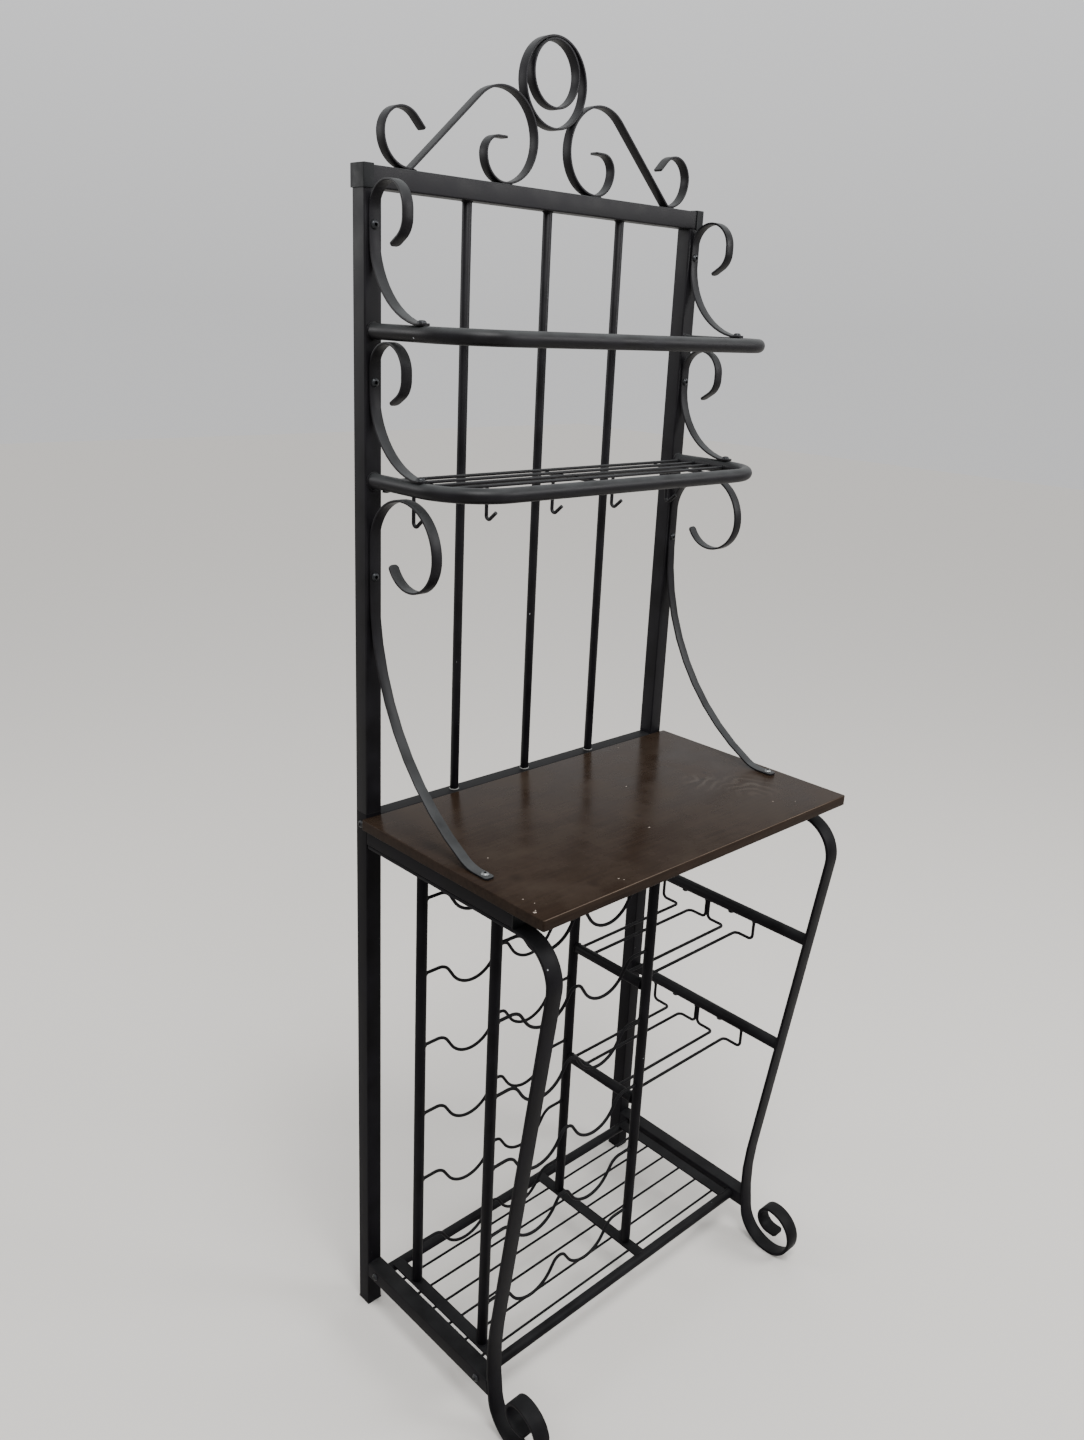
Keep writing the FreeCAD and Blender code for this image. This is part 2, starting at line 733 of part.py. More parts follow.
SHIN_CENTRE = (
    forward("foot_reach + (shin_radius - heel_radius) * cos(shin_splay)"),
    "leg_thick / 2 + heel_radius + (shin_radius - heel_radius) * sin(shin_splay)",
)
leg_top = f"({RAIL_LOW} - leg_thick / 2)"
shin_run = (
    f"(({leg_top} - leg_thick / 2 - knee_radius * (1 + sin(knee_lean))"
    " - shin_radius * (sin(shin_splay) + sin(knee_lean))"
    " - heel_radius * (1 - sin(shin_splay))) / cos(knee_lean))"
)
knee_reach = (
    f"(foot_reach - knee_radius * cos(knee_lean) + {shin_run} * sin(knee_lean)"
    " - shin_radius * (cos(knee_lean) - cos(shin_splay)) - heel_radius * cos(shin_splay))"
)
screw_rows = ("worktop_screw_rear", "worktop_screw_front")


def trim_box(name, side):
    """Everything in front of a leg's straight shin."""
    solid = box(
        name,
        (square_low(side), *SHIN_CENTRE),
        ("tube_side", "shin_radius + leg_thick / 2 + weld_gap", "worktop_height"))
    solid.Placement = FreeCAD.Placement(FreeCAD.Vector(), FreeCAD.Rotation(AXIS_X, 1))
    return bind(solid, **{"Placement.Rotation.Angle": "knee_lean"})


def trim_cylinder(name, side):
    """Everything in front of a leg's curved shin."""
    return rod(
        name, (square_low(side), *SHIN_CENTRE), "right",
        "2 * (shin_radius + leg_thick / 2 + weld_gap)", "tube_side")


rail_screw_places = []
plug_places = []
for word, side in SIDES.items():
    x = across(side, POST_X)
    places = [(x, forward(row), f"{RAIL_LOW} - leg_thick") for row in screw_rows]
    rail_screw_places += places
    drills = [
        rod(f"rail_drill_{word}_{count}", at, "up", WOOD_HOLE, "leg_thick + tube_side")
        for count, at in enumerate(places, start=1)
    ]
    leg = bent(
        f"front_leg_{word}_bar",
        ("flat", "leg_thick", "tube_side"),
        [
            ("run", knee_reach),
            ("left", "knee_radius", "90 + knee_lean"),
            ("run", shin_run),
            ("right", "shin_radius", "knee_lean + shin_splay"),
            ("right", "heel_radius", "90 - shin_splay"),
            ("right", "toe_radius", "180"),
            ("right", "toe_roll_radius", "180"),
            ("run", "toe_tail"),
        ],
        rounded=("end",),
    )
    place(leg, (x, POST_FRONT, leg_top), lying(-AXIS_Y, -AXIS_Z))
    node(cut(f"front_leg_{word}", leg, *drills))

    rail = square_tube(
        f"worktop_rail_{word}_tube", 1, (square_low(side), forward("worktop_rail_length"), RAIL_LOW),
        "tube_side", "tube_wall", "worktop_rail_length")
    node(cut(f"worktop_rail_{word}", rail, *drills))
    plug_places.append((x, forward("worktop_rail_length + plug_flange"), f"{RAIL_TOP} - tube_side / 2"))
node(group("worktop_rail_plugs", copies(
    "worktop_rail_plug", square_plug, plug_places, TOWARDS["back"])))


# Bottom shelf: side rails bolted to two tubes, flat bars between the tubes, wires under the bars

bottom_rows = {"rear": "bottom_tube_rear", "front": "bottom_tube_front"}
bolt_places = {
    word: [(across(side, "frame_width / 2"), forward(row), "bottom_height") for row in bottom_rows.values()]
    for word, side in SIDES.items()
}
for word, side in SIDES.items():
    rail = square_tube(
        f"bottom_rail_{word}_tube", 1,
        (square_low(side), forward("foot_reach"), "bottom_height - tube_side / 2"),
        "tube_side", "tube_wall", "foot_reach")
    drills = [
        rod(f"bottom_drill_{word}_{count}", at, inward[word], MACHINE_HOLE, "tube_side")
        for count, at in enumerate(bolt_places[word], start=1)
    ]
    node(cut(f"bottom_rail_{word}", rail, trim_cylinder(f"bottom_trim_{word}", side), *drills))
node(group("bottom_rail_bolts", [
    link
    for word in SIDES
    for link in copies(f"bottom_rail_bolt_{word}", rail_bolt, bolt_places[word], TOWARDS[inward[word]])
]))

nut_diameter = "bottom_tube_diameter - 2 * bottom_tube_wall - 2 * nut_play"
nut_blank = rod("nut_blank", ("0", "0", "0"), "up", nut_diameter, "nut_depth")
nut_bore = rod("nut_bore", ("0", "0", "0"), "up", MACHINE_HOLE, "nut_depth")
nut = cut("tube_nut", nut_blank, nut_bore)
node(group("bottom_tube_nuts", [
    link
    for word, side in SIDES.items()
    for link in copies(
        f"bottom_tube_nut_{word}", nut,
        [(across(side, INNER_X), forward(row), "bottom_height") for row in bottom_rows.values()],
        TOWARDS[inward[word]])
]))
for word, row in bottom_rows.items():
    node(tube(
        f"bottom_{word}_tube", (f"-{INNER_X}", forward(row), "bottom_height"), "right",
        "bottom_tube_diameter", "bottom_tube_wall", f"2 * {INNER_X}"))

flat_top = "(bottom_height + bottom_tube_diameter / 2)"
flat_low = f"({flat_top} - flat_bar_thick)"
bar_blank = box(
    "flat_bar_blank",
    ("-flat_bar_width / 2", forward("bottom_tube_front"), flat_low),
    ("flat_bar_width", "bottom_tube_front - bottom_tube_rear", "flat_bar_thick"))
bar_ends = [
    rod(
        f"flat_bar_end_{word}", ("-flat_bar_width", forward(row), "bottom_height"), "right",
        "bottom_tube_diameter + 2 * weld_gap", "2 * flat_bar_width")
    for word, row in bottom_rows.items()
]
flat_bar = cut("flat_bar", bar_blank, *bar_ends)
flat_places = [(x, "0", "0") for x in (f"-{RACK_EDGE}", RACK_DIVIDER, RACK_EDGE)]
node(group("bottom_flat_bars", copies("flat_bar_copy", flat_bar, flat_places)))

bottom_wire_half = f"({RACK_EDGE} + flat_bar_width / 2 + bottom_wire_nub)"
bottom_wire = rod(
    "bottom_wire",
    (f"-{bottom_wire_half}", POST_FRONT, f"{flat_low} - bottom_wire_diameter / 2 - weld_gap"), "right",
    "bottom_wire_diameter", f"2 * {bottom_wire_half}")
bottom_wire_places = [
    ("0", f"-(bottom_wire_start + {count} * bottom_wire_pitch)", "0") for count in range(BOTTOM_WIRES)
]
node(group("bottom_shelf_wires", copies("bottom_wire_copy", bottom_wire, bottom_wire_places)))


# Wine rack: uprights from the bottom shelf to bars under the worktop, waves of wire between them

upright_rows = ("upright_rear", "upright_front")
rack_columns = {"edge": f"-{RACK_EDGE}", "divider": RACK_DIVIDER}
rack_bar_low = f"({RAIL_TOP} - flat_bar_thick)"
upright = tube(
    "rack_upright", ("0", POST_FRONT, flat_top), "up", "upright_diameter", "upright_wall",
    f"{rack_bar_low} - {flat_top}")
upright_places = [(x, f"-{row}", "0") for x in rack_columns.values() for row in upright_rows]
node(group("rack_uprights", copies("rack_upright_copy", upright, upright_places)))

rack_bars = []
rack_screw_places = []
for word, x in rack_columns.items():
    places = [(x, forward(row), rack_bar_low) for row in screw_rows]
    rack_screw_places += places
    bar = box(
        f"rack_top_bar_{word}_blank",
        (f"{x} - flat_bar_width / 2", forward("bottom_tube_front"), rack_bar_low),
        ("flat_bar_width", "bottom_tube_front", "flat_bar_thick"))
    drills = [
        rod(f"rack_bar_drill_{word}_{count}", at, "up", WOOD_HOLE, "flat_bar_thick")
        for count, at in enumerate(places, start=1)
    ]
    rack_bars.append(cut(f"rack_top_bar_{word}", bar, *drills))
node(group("rack_top_bars", rack_bars))

# Each arc turns by dip_angle from its top or bottom to the straight slope that joins it to the next
slope_length = "slope_run * cos(dip_angle)"
crest_to_dip = f"((dip_radius + crest_bend_radius) * sin(dip_angle) + {slope_length})"
shoulder_to_dip = f"((dip_radius + shoulder_bend_radius) * sin(dip_angle) + {slope_length})"
rack_clear = "(upright_diameter / 2 + weld_gap)"
shoulder_run = f"rack_width / 2 - {crest_to_dip} - {shoulder_to_dip} - {rack_clear}"
slope = ("run", "slope_run")
dip = ("left", "dip_radius", "2 * dip_angle")
rest_wire = bent(
    "bottle_rest_wire",
    ("rest_wire_diameter",),
    [
        ("run", shoulder_run),
        ("right", "shoulder_bend_radius", "dip_angle"),
        slope,
        dip,
        slope,
        ("right", "crest_bend_radius", "2 * dip_angle"),
        slope,
        dip,
        slope,
        ("right", "shoulder_bend_radius", "dip_angle"),
        ("run", shoulder_run),
    ],
)
place(rest_wire, (f"{rack_clear} - {RACK_EDGE}", POST_FRONT, "rest_bottom"), lying(AXIS_X, AXIS_Z))
for level in range(REST_LEVELS):
    rest_places = [("0", f"-{row}", f"{level} * rest_pitch") for row in upright_rows]
    node(group(f"bottle_rest_{level + 1}", copies(f"rest_wire_{level + 1}", rest_wire, rest_places)))


# Glass rack: side tubes from post to leg, cross bars on the divider, hangers between them

glass_heights = {"upper": "glass_upper_height", "lower": "glass_lower_height"}
glass_x = across(SIDES["right"], POST_X)
side_tubes = []
cross_bars = []
for word, height in glass_heights.items():
    side_tube = tube(
        f"glass_side_{word}_tube", (glass_x, forward("foot_reach"), height), "back",
        "glass_tube_diameter", "glass_tube_wall", "foot_reach")
    side_tubes.append(cut(f"glass_side_{word}", side_tube, trim_box(f"glass_trim_{word}", SIDES["right"])))
    cross_bars.append(rod(
        f"glass_cross_{word}",
        (RACK_DIVIDER, forward(f"upright_front - {rack_clear}"), f"{height} - glass_drop"), "back",
        "upright_diameter", f"upright_front - upright_rear - 2 * {rack_clear}"))
node(group("glass_side_tubes", side_tubes))
node(group("glass_cross_bars", cross_bars))

# A hanger is two bent lengths that meet halfway between their bends
leg_half = "((glass_slot_pitch - glass_wire_diameter - weld_gap) / 2)"
half_step = f"({leg_half} - glass_slot_half) / 2 - glass_bend_radius"
fall = "glass_drop - glass_tube_diameter / 2 - weld_gap - glass_bend_radius"
reach_in = f"{glass_x} - {RACK_DIVIDER} - {rack_clear} - glass_bend_radius"
bend = ("left", "glass_bend_radius", "90")
slot_rows = ["glass_slot_rear", "glass_slot_rear + glass_slot_pitch"]
hangers = {}
for word, side in {"rear": 1, "front": -1}.items():
    back = AXIS_Y * side
    falling = bent(
        f"hanger_{word}_fall", ("glass_wire_diameter",), [("run", fall), bend, ("run", half_step)])
    leg_y = f"{-side} * {leg_half}"
    falling_top = "-glass_tube_diameter / 2 - weld_gap"
    place(falling, (glass_x, leg_y, falling_top), lying(-AXIS_Z, back))
    running = bent(
        f"hanger_{word}_reach", ("glass_wire_diameter",), [("run", half_step), bend, ("run", reach_in)])
    middle_y = f"{-side} * ({leg_half} + glass_slot_half) / 2"
    place(running, (glass_x, middle_y, "-glass_drop"), lying(back, -AXIS_X))
    hangers[word] = fuse(f"glass_hanger_{word}", falling, running)
for word, height in glass_heights.items():
    places = [("0", forward(row), height) for row in slot_rows]
    node(group(f"glass_hangers_{word}", [
        link
        for half, hanger in hangers.items()
        for link in copies(f"glass_hanger_{word}_{half}", hanger, places)
    ]))


# Worktop, with pilot holes for every screw that bites into it

pilots = [
    rod(f"worktop_pilot_{count}", (x, y, RAIL_TOP), "up", WOOD_HOLE, "wood_bite + screw_play")
    for count, (x, y, z) in enumerate(rail_screw_places + rack_screw_places, start=1)
] + [
    rod(f"worktop_bracket_pilot_{count}", (x, y, "worktop_height"), "down", WOOD_HOLE, "wood_bite + screw_play")
    for count, (x, y, z) in enumerate(shelf_screw_places["worktop_bracket"], start=1)
]
board = doc.addObject("PartDesign::Body", "worktop_board")
outline = sketch_on(board, "worktop_outline", "XY_Plane")
add_rectangle(outline, "frame_width + 2 * worktop_overhang", "worktop_depth")
pad = board.newObject("PartDesign::Pad", "worktop_pad")
pad.Profile = outline
bind(pad, Length="worktop_thick")
board.recompute(True)
corners = [
    f"Edge{index}"
    for index, edge in enumerate(pad.Shape.Edges, start=1)
    if abs(edge.Length - number("worktop_thick")) < 1e-4
]
rounding = board.newObject("PartDesign::Fillet", "worktop_corners")
rounding.Base = (pad, corners)
bind(rounding, Radius="worktop_corner")
outline.Visibility = False
place(board, ("0", forward("worktop_depth / 2"), RAIL_TOP))
node(cut("worktop", board, *pilots))

node(group(
    "worktop_screws",
    copies("worktop_rail_screw", rail_wood_screw, rail_screw_places)
    + copies("worktop_bar_screw", bar_wood_screw, rack_screw_places)))

doc.recompute()
for thing in doc.Objects:
    if "Invalid" in thing.State or "Error" in thing.State:
        raise RuntimeError(f"{thing.Name} failed: {thing.State}")
for thing in nodes:
    if thing.Shape.isNull() or not thing.Shape.isValid():
        raise RuntimeError(f"{thing.Label} has no valid shape")

os.makedirs("parts", exist_ok=True)
for thing in nodes:
    thing.Shape.exportStep(f"parts/{thing.Label}.step")
    print(thing.Label, len(thing.Shape.Solids), round(thing.Shape.Volume))
print(len(nodes), "sub-parts")
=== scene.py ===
# %% [markdown]
# # A bakers rack
#
# The rack is a welded steel frame with a wood worktop. The model that is loaded here has every piece
# at its real size and place, and this script never moves those pieces. It redraws the ones that show,
# with rounder edges, smoother bends and weld beads, and gives each one the finish of the real thing.

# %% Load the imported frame
import json
import math

import bmesh
import bpy
from mathutils import Matrix, Vector, noise


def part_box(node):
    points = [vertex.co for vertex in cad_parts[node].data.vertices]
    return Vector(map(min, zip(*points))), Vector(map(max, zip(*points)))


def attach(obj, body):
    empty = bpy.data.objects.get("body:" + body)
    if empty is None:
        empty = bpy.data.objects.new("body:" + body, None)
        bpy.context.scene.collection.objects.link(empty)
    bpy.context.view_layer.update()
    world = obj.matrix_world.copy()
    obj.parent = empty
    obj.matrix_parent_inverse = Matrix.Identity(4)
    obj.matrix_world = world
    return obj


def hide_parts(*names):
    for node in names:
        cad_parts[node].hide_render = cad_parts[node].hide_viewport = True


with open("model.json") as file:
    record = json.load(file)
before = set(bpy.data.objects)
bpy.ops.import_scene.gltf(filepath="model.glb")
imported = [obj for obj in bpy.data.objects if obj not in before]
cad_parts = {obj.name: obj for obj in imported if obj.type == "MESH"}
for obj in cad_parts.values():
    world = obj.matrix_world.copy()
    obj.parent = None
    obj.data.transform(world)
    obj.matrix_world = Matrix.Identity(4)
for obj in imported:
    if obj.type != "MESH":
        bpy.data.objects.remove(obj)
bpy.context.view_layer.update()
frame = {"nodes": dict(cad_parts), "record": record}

print("pieces in the frame:", len(frame["nodes"]))

# %% [markdown]
# All lengths below are millimetres, as on a workshop drawing. Blender works in metres, so each
# finished piece is scaled once, at the very end. The places could be typed in, but then they would go
# stale when a size changes. So they are read from the loaded model: one helper gives the box of a
# piece, and another the box of every separate solid in it, such as the four wires of a shelf.

# %% Read sizes and places from the frame
MM = 0.001
X = Vector((1, 0, 0))
Y = Vector((0, 1, 0))
Z = Vector((0, 0, 1))


class Box:
    """The lowest and highest corner of a solid, in millimetres."""

    def __init__(self, low, high):
        self.low = Vector(low)
        self.high = Vector(high)
        self.middle = (self.low + self.high) / 2
        self.size = self.high - self.low


def node_box(node):
    """The box round a whole piece."""
    low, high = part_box(node)
    return Box(low / MM, high / MM)


def solids(node):
    """The box of each separate solid of a piece, sorted by height, then depth, then width."""
    bm = bmesh.new()
    bm.from_mesh(frame["nodes"][node].data)
    bmesh.ops.remove_doubles(bm, verts=bm.verts, dist=1e-6)
    waiting = set(bm.verts)
    boxes = []
    for start in bm.verts:
        if start not in waiting:
            continue
        waiting.discard(start)
        island = [start]
        for vert in island:
            for edge in vert.link_edges:
                other = edge.other_vert(vert)
                if other in waiting:
                    waiting.discard(other)
                    island.append(other)
        corners = list(zip(*(vert.co / MM for vert in island)))
        boxes.append(Box([min(values) for values in corners], [max(values) for values in corners]))
    bm.free()
    return sorted(boxes, key=lambda box: [round(value) for value in reversed(box.middle)])


def at(place):
    """A plain shift to a place."""
    return Matrix.Translation(place)


def lying(start, along, leftward):
    """The place of a bent piece that starts at a point, runs along one axis and has another on its left."""
    turn = Matrix((along, leftward, along.cross(leftward))).transposed()
    return at(start) @ turn.to_4x4()


print("shelf wires:", [round(box.middle.y, 1) for box in solids("top_shelf_wires")])

# %% [markdown]
# A material is a small graph of nodes. One helper adds a node, sets its values and makes its links,
# and one function turns the hex colour that a painter would name into the linear colour that
# Blender computes with.

# %% Helpers for materials


def hex_colour(text):
    """The linear colour of an sRGB hex value."""
    channels = [int(text[i:i + 2], 16) / 255 for i in (1, 3, 5)]
    return (*[c / 12.92 if c <= 0.04045 else ((c + 0.055) / 1.055) ** 2.4 for c in channels], 1)


def add_node(tree, kind, settings=None, **links):
    """Adds a node. settings are its own values, links are its inputs: a number, colour or socket."""
    new = tree.nodes.new("ShaderNode" + kind)
    for name, value in (settings or {}).items():
        setattr(new, name, value)
    for name, value in links.items():
        socket = new.inputs[int(name[1:])] if name[1:].isdigit() else new.inputs[name.replace("_", " ")]
        if isinstance(value, bpy.types.NodeSocket):
            tree.links.new(value, socket)
        else:
            socket.default_value = value
    return new


def blank_material(name):
    """An empty material, its node tree and the object's own coordinates in metres."""
    material = bpy.data.materials.new(name)
    material.use_nodes = True
    tree = material.node_tree
    tree.nodes.clear()
    place = add_node(tree, "TexCoord").outputs["Object"]
    return material, tree, place


def grains(tree, place, size_mm, detail=2.0, roughness=0.5, stretch=(1, 1, 1)):
    """Noise whose lumps are about size_mm across, drawn out along each axis by stretch."""
    scale = [1 / (MM * size_mm * factor) for factor in stretch]
    mapped = add_node(tree, "Mapping", Vector=place, Scale=scale).outputs["Vector"]
    lumps = add_node(tree, "TexNoise", Vector=mapped, Scale=1.0, Detail=detail, Roughness=roughness)
    return lumps.outputs["Fac"]


def between(tree, value, low, high, out_low=0.0, out_high=1.0):
    """Spreads a value that runs from low to high over another range."""
    ranged = add_node(
        tree, "MapRange", Value=value, From_Min=low, From_Max=high, To_Min=out_low, To_Max=out_high)
    return ranged.outputs["Result"]


def combined(tree, operation, first, second, kind="Math"):
    """Two values or vectors put together by one sum, product or larger-of."""
    return add_node(tree, kind, {"operation": operation}, i0=first, i1=second).outputs[0]


def blended(tree, share, first, second):
    """A colour between two others."""
    mixer = add_node(tree, "Mix", {"data_type": "RGBA"}, i0=share, i6=first, i7=second)
    return mixer.outputs[2]


def surface(tree, bump=None, **inputs):
    """Adds the shader and the output. bump is a pair: the height's source and its depth in mm."""
    if bump:
        height, depth = bump
        inputs["Normal"] = add_node(
            tree, "Bump", Height=height, Strength=1.0, Distance=depth * MM).outputs["Normal"]
    shader = add_node(tree, "BsdfPrincipled", **inputs)
    add_node(tree, "OutputMaterial", Surface=shader.outputs["BSDF"])


print("black in linear light:", [round(channel, 4) for channel in hex_colour("#131215")[:3]])

# %% [markdown]
# ## Powder coat
#
# The steel is sprayed with dry black powder and baked. The melted powder levels out to a satin skin
# with an orange peel, drawn here a little coarser than life so that it shows. A film of paint is a
# dielectric, so it is not metallic. Faces that look up are mixed towards a grey by the upward part of
# the normal: partly real dust, partly a painted sheen of light from above. In a few places the coat
# was knocked through, and the pale primer shows as tiny chips. The same coat is made twice: a lighter,
# glossier copy for the shelves and the crest, and a darker copy for steel below the worktop. That is
# painted light above and painted shade below, not a difference in the paint.

# %% Powder-coated steel
PEEL_MM = 2.2
PEEL_DEPTH = 0.02
CLOUD_MM = 45
CHIP_MM = 7.0
CHIP_LEVEL = 0.84


def facing_up(tree, least, most):
    """How much a face looks upwards, from 0 to 1."""
    normal = add_node(tree, "NewGeometry").outputs["Normal"]
    upward = add_node(tree, "SeparateXYZ", Vector=normal).outputs["Z"]
    return between(tree, upward, least, most)


def powder_coat(name, gloss, gleam, dust_and_sheen_colour, dust_and_sheen_share):
    """Black powder coat, greyed upwards by dust and painted sheen. gloss and the grey share are ranges
    drifting by patch.
    """
    material, tree, place = blank_material(name)
    peel = grains(tree, place, PEEL_MM, detail=2.0)
    clouds = grains(tree, place, CLOUD_MM, detail=4.0)
    tone = blended(tree, between(tree, clouds, 0.35, 0.65), hex_colour("#0b0a0c"), hex_colour("#131215"))
    dust_and_sheen = between(tree, clouds, 0.3, 0.7, *dust_and_sheen_share)
    # Upward faces turn grey: partly dust, partly a painted sheen of light from above.
    dust_and_sheen_on_top = combined(tree, "MULTIPLY", facing_up(tree, 0.2, 1.0), dust_and_sheen)
    tone = blended(tree, dust_and_sheen_on_top, tone, hex_colour(dust_and_sheen_colour))
    knocks = grains(tree, place, CHIP_MM, detail=1.0)
    chipped = between(tree, knocks, CHIP_LEVEL, CHIP_LEVEL + 0.01)
    colour = blended(tree, chipped, tone, hex_colour("#85878a"))
    surface(
        tree,
        bump=(peel, PEEL_DEPTH),
        Base_Color=colour,
        Roughness=between(tree, clouds, 0.35, 0.65, *gloss),
        Specular_IOR_Level=gleam,
        IOR=1.5)
    return material


# The first coat is lighter and glossier as painted light from above, the second darker as painted shade
# below the worktop.
steel = powder_coat("satin_black_powder_coat", (0.4, 0.52), 0.12, "#414343", (0.3, 0.72))
steel_with_painted_shade = powder_coat("satin_black_powder_coat_with_painted_shade", (0.44, 0.56), 0.05, "#222322", (0.2, 0.5))
print("powder coats:", steel.name, "and", steel_with_painted_shade.name, "with a peel of", PEEL_MM, "mm")

# %% [markdown]
# ## Worktop film
#
# The board is particle board wrapped in a dark walnut-coloured paper film. The film is printed with
# long soft grain along the board and lacquered, so it mirrors the room softly. Hands and bowls have
# left cloudy smudges that change the gloss more than the colour, a few darker stains, two patches
# wiped in pale swirls, and a handful of pale crumbs where the film is scratched through. Noise alone
# would scatter these at random, so each stain, swirl and crumb has a place of its own on the board.

# %% Dark wood-grain film
GRAIN_MM = 5
GRAIN_RUN = 26
GRAIN_DEPTH = 0.02
SMUDGE_MM = 70
CRUMBLES_PER_METRE = 220.0
CRUMBLE_SHIFT = 0.004
SWIRLS_PER_METRE = 18.0

# Each spot on the board is its x, its y and its radius
PALE_CHIPS = [
    (-304, -155, 2.3), (-300, -152, 1.1), (-288, -138, 0.9), (-292, -122, 0.9), (-252, -11, 1.1),
    (-161, -156, 1.4), (-158, -162, 0.9), (-12, -74, 1.1), (73, 48, 1.2), (205, -124, 1.1),
    (186, 171, 1.2), (232, -146, 0.8),
]
DARK_STAINS = [(6, -38, 8), (-261, -75, 13), (-196, -148, 9), (-289, 62, 16), (214, 12, 9), (190, -4, 8)]
RUBBED = [(228, -65, 58), (180, -14, 40)]


def spots(tree, place, places, soft):
    """1 inside any of the round spots, falling to 0 over the outer share of each given by soft."""
    total = 0.0
    for x, y, radius in places:
        shifted = combined(tree, "SUBTRACT", place, (x * MM, y * MM, 0), "VectorMath")
        flat = combined(tree, "MULTIPLY", shifted, (1, 1, 0), "VectorMath")
        length = add_node(tree, "VectorMath", {"operation": "LENGTH"}, i0=flat).outputs["Value"]
        inside = between(tree, length, radius * MM, radius * MM * (1 - soft))
        total = combined(tree, "MAXIMUM", total, inside)
    return total


def wood_film(name, dark, light, gloss, smudge="#352d26", worn=False):
    """Printed film. A worn one also has the board's stains, swirls and crumbs."""
    material, tree, place = blank_material(name)
    grain = grains(tree, place, GRAIN_MM, detail=5.0, roughness=0.6, stretch=(GRAIN_RUN, 1, 1))
    clouds = grains(tree, place, SMUDGE_MM, detail=4.0, roughness=0.6)
    colour = blended(tree, between(tree, grain, 0.3, 0.7), hex_colour(dark), hex_colour(light))
    colour = blended(tree, between(tree, clouds, 0.42, 0.75, 0.0, 0.5), colour, hex_colour(smudge))
    if worn:
        wobble = add_node(tree, "TexNoise", Vector=place, Scale=CRUMBLES_PER_METRE, Detail=2.0)
        wobble = combined(
            tree, "MULTIPLY", wobble.outputs["Color"], (CRUMBLE_SHIFT, CRUMBLE_SHIFT, 0), "VectorMath")
        ragged = combined(tree, "ADD", wobble, place, "VectorMath")
        wiping = add_node(tree, "Mapping", Vector=place, Location=(-0.2, 0.1, 0)).outputs["Vector"]
        swirl = add_node(
            tree, "TexWave", {"wave_type": "RINGS", "rings_direction": "Z"}, Vector=wiping,
            Scale=SWIRLS_PER_METRE, Distortion=9.0, Detail=3.0, Detail_Scale=1.2).outputs["Fac"]
        swirl = between(tree, swirl, 0.45, 0.95, 0.0, 0.3)
        wiped_and_highlit = combined(tree, "MULTIPLY", spots(tree, place, RUBBED, 0.9), swirl)
        colour = blended(tree, wiped_and_highlit, colour, hex_colour("#4c453e"))
        stains = spots(tree, ragged, DARK_STAINS, 0.9)
        colour = blended(tree, between(tree, stains, 0, 1, 0, 0.6), colour, hex_colour("#17100d"))
        colour = blended(tree, spots(tree, ragged, PALE_CHIPS, 0.3), colour, hex_colour("#8b8077"))
    surface(
        tree,
        bump=(grain, GRAIN_DEPTH),
        Base_Color=colour,
        Roughness=between(tree, clouds, 0.3, 0.7, *gloss),
        Specular_IOR_Level=0.03,
        IOR=1.5)
    return material


film = wood_film("walnut_paper_film", "#1c140f", "#241b14", (0.2, 0.34), worn=True)
# A pale copy of the film for the front bevel, as a painted highlight.
edge_painted_highlight = wood_film("film_edge_painted_highlight", "#372d25", "#5c5046", (0.4, 0.5), smudge="#2a221b")
edge_band = wood_film("walnut_edge_band", "#1b1410", "#271f19", (0.42, 0.55), smudge="#302620")
print("marks on the board:", len(PALE_CHIPS + DARK_STAINS + RUBBED))

# %% [markdown]
# ## Small parts
#
# Screws that pull steel to steel are black oxide: a thin dark conversion layer on bare metal, so it
# is partly metallic. The two wood screws at the large brackets and those under the board are zinc
# plated, dulled by fine smears. Plugs and caps are moulded in black polyethylene, whose fine mould
# texture looks matt and slightly soft. One more plated finish is a pale metal for the weld rings at the
# feet of the back bars.

# %% Screw, plating and plastic finishes


def plated(name, tint, shine, metallic):
    """A thin metal finish with smears between two tints."""
    material, tree, place = blank_material(name)
    smears = grains(tree, place, 3, detail=3.0)
    surface(
        tree,
        bump=(grains(tree, place, 0.6), 0.01),
        Base_Color=blended(tree, smears, hex_colour(tint[0]), hex_colour(tint[1])),
        Roughness=between(tree, smears, 0.3, 0.7, *shine),
        Metallic=metallic)
    return material


def moulded(name, tint, shine):
    """Moulded plastic with a fine mould texture."""
    material, tree, place = blank_material(name)
    mould_texture = grains(tree, place, 0.9, detail=3.0)
    clouds = grains(tree, place, 12)
    surface(
        tree,
        bump=(mould_texture, 0.03),
        Base_Color=blended(tree, clouds, hex_colour(tint[0]), hex_colour(tint[1])),
        Roughness=between(tree, clouds, 0.3, 0.7, *shine),
        Specular_IOR_Level=0.1,
        IOR=1.49)
    return material


black_oxide = plated("black_oxide_screws", ("#17181a", "#26282b"), (0.3, 0.45), 0.6)
bright_zinc = plated("zinc_plated_screws", ("#666869", "#808282"), (0.42, 0.56), 1.0)
yellow_zinc = plated("zinc_plated_inserts", ("#a59c7c", "#c4bc9c"), (0.3, 0.45), 1.0)
black_plastic = moulded("moulded_black_polyethylene", ("#0b0c0d", "#131415"), (0.45, 0.58))
pale_weld = plated("pale_weld_ring", ("#6b6c6b", "#8b8a87"), (0.45, 0.6), 0.5)

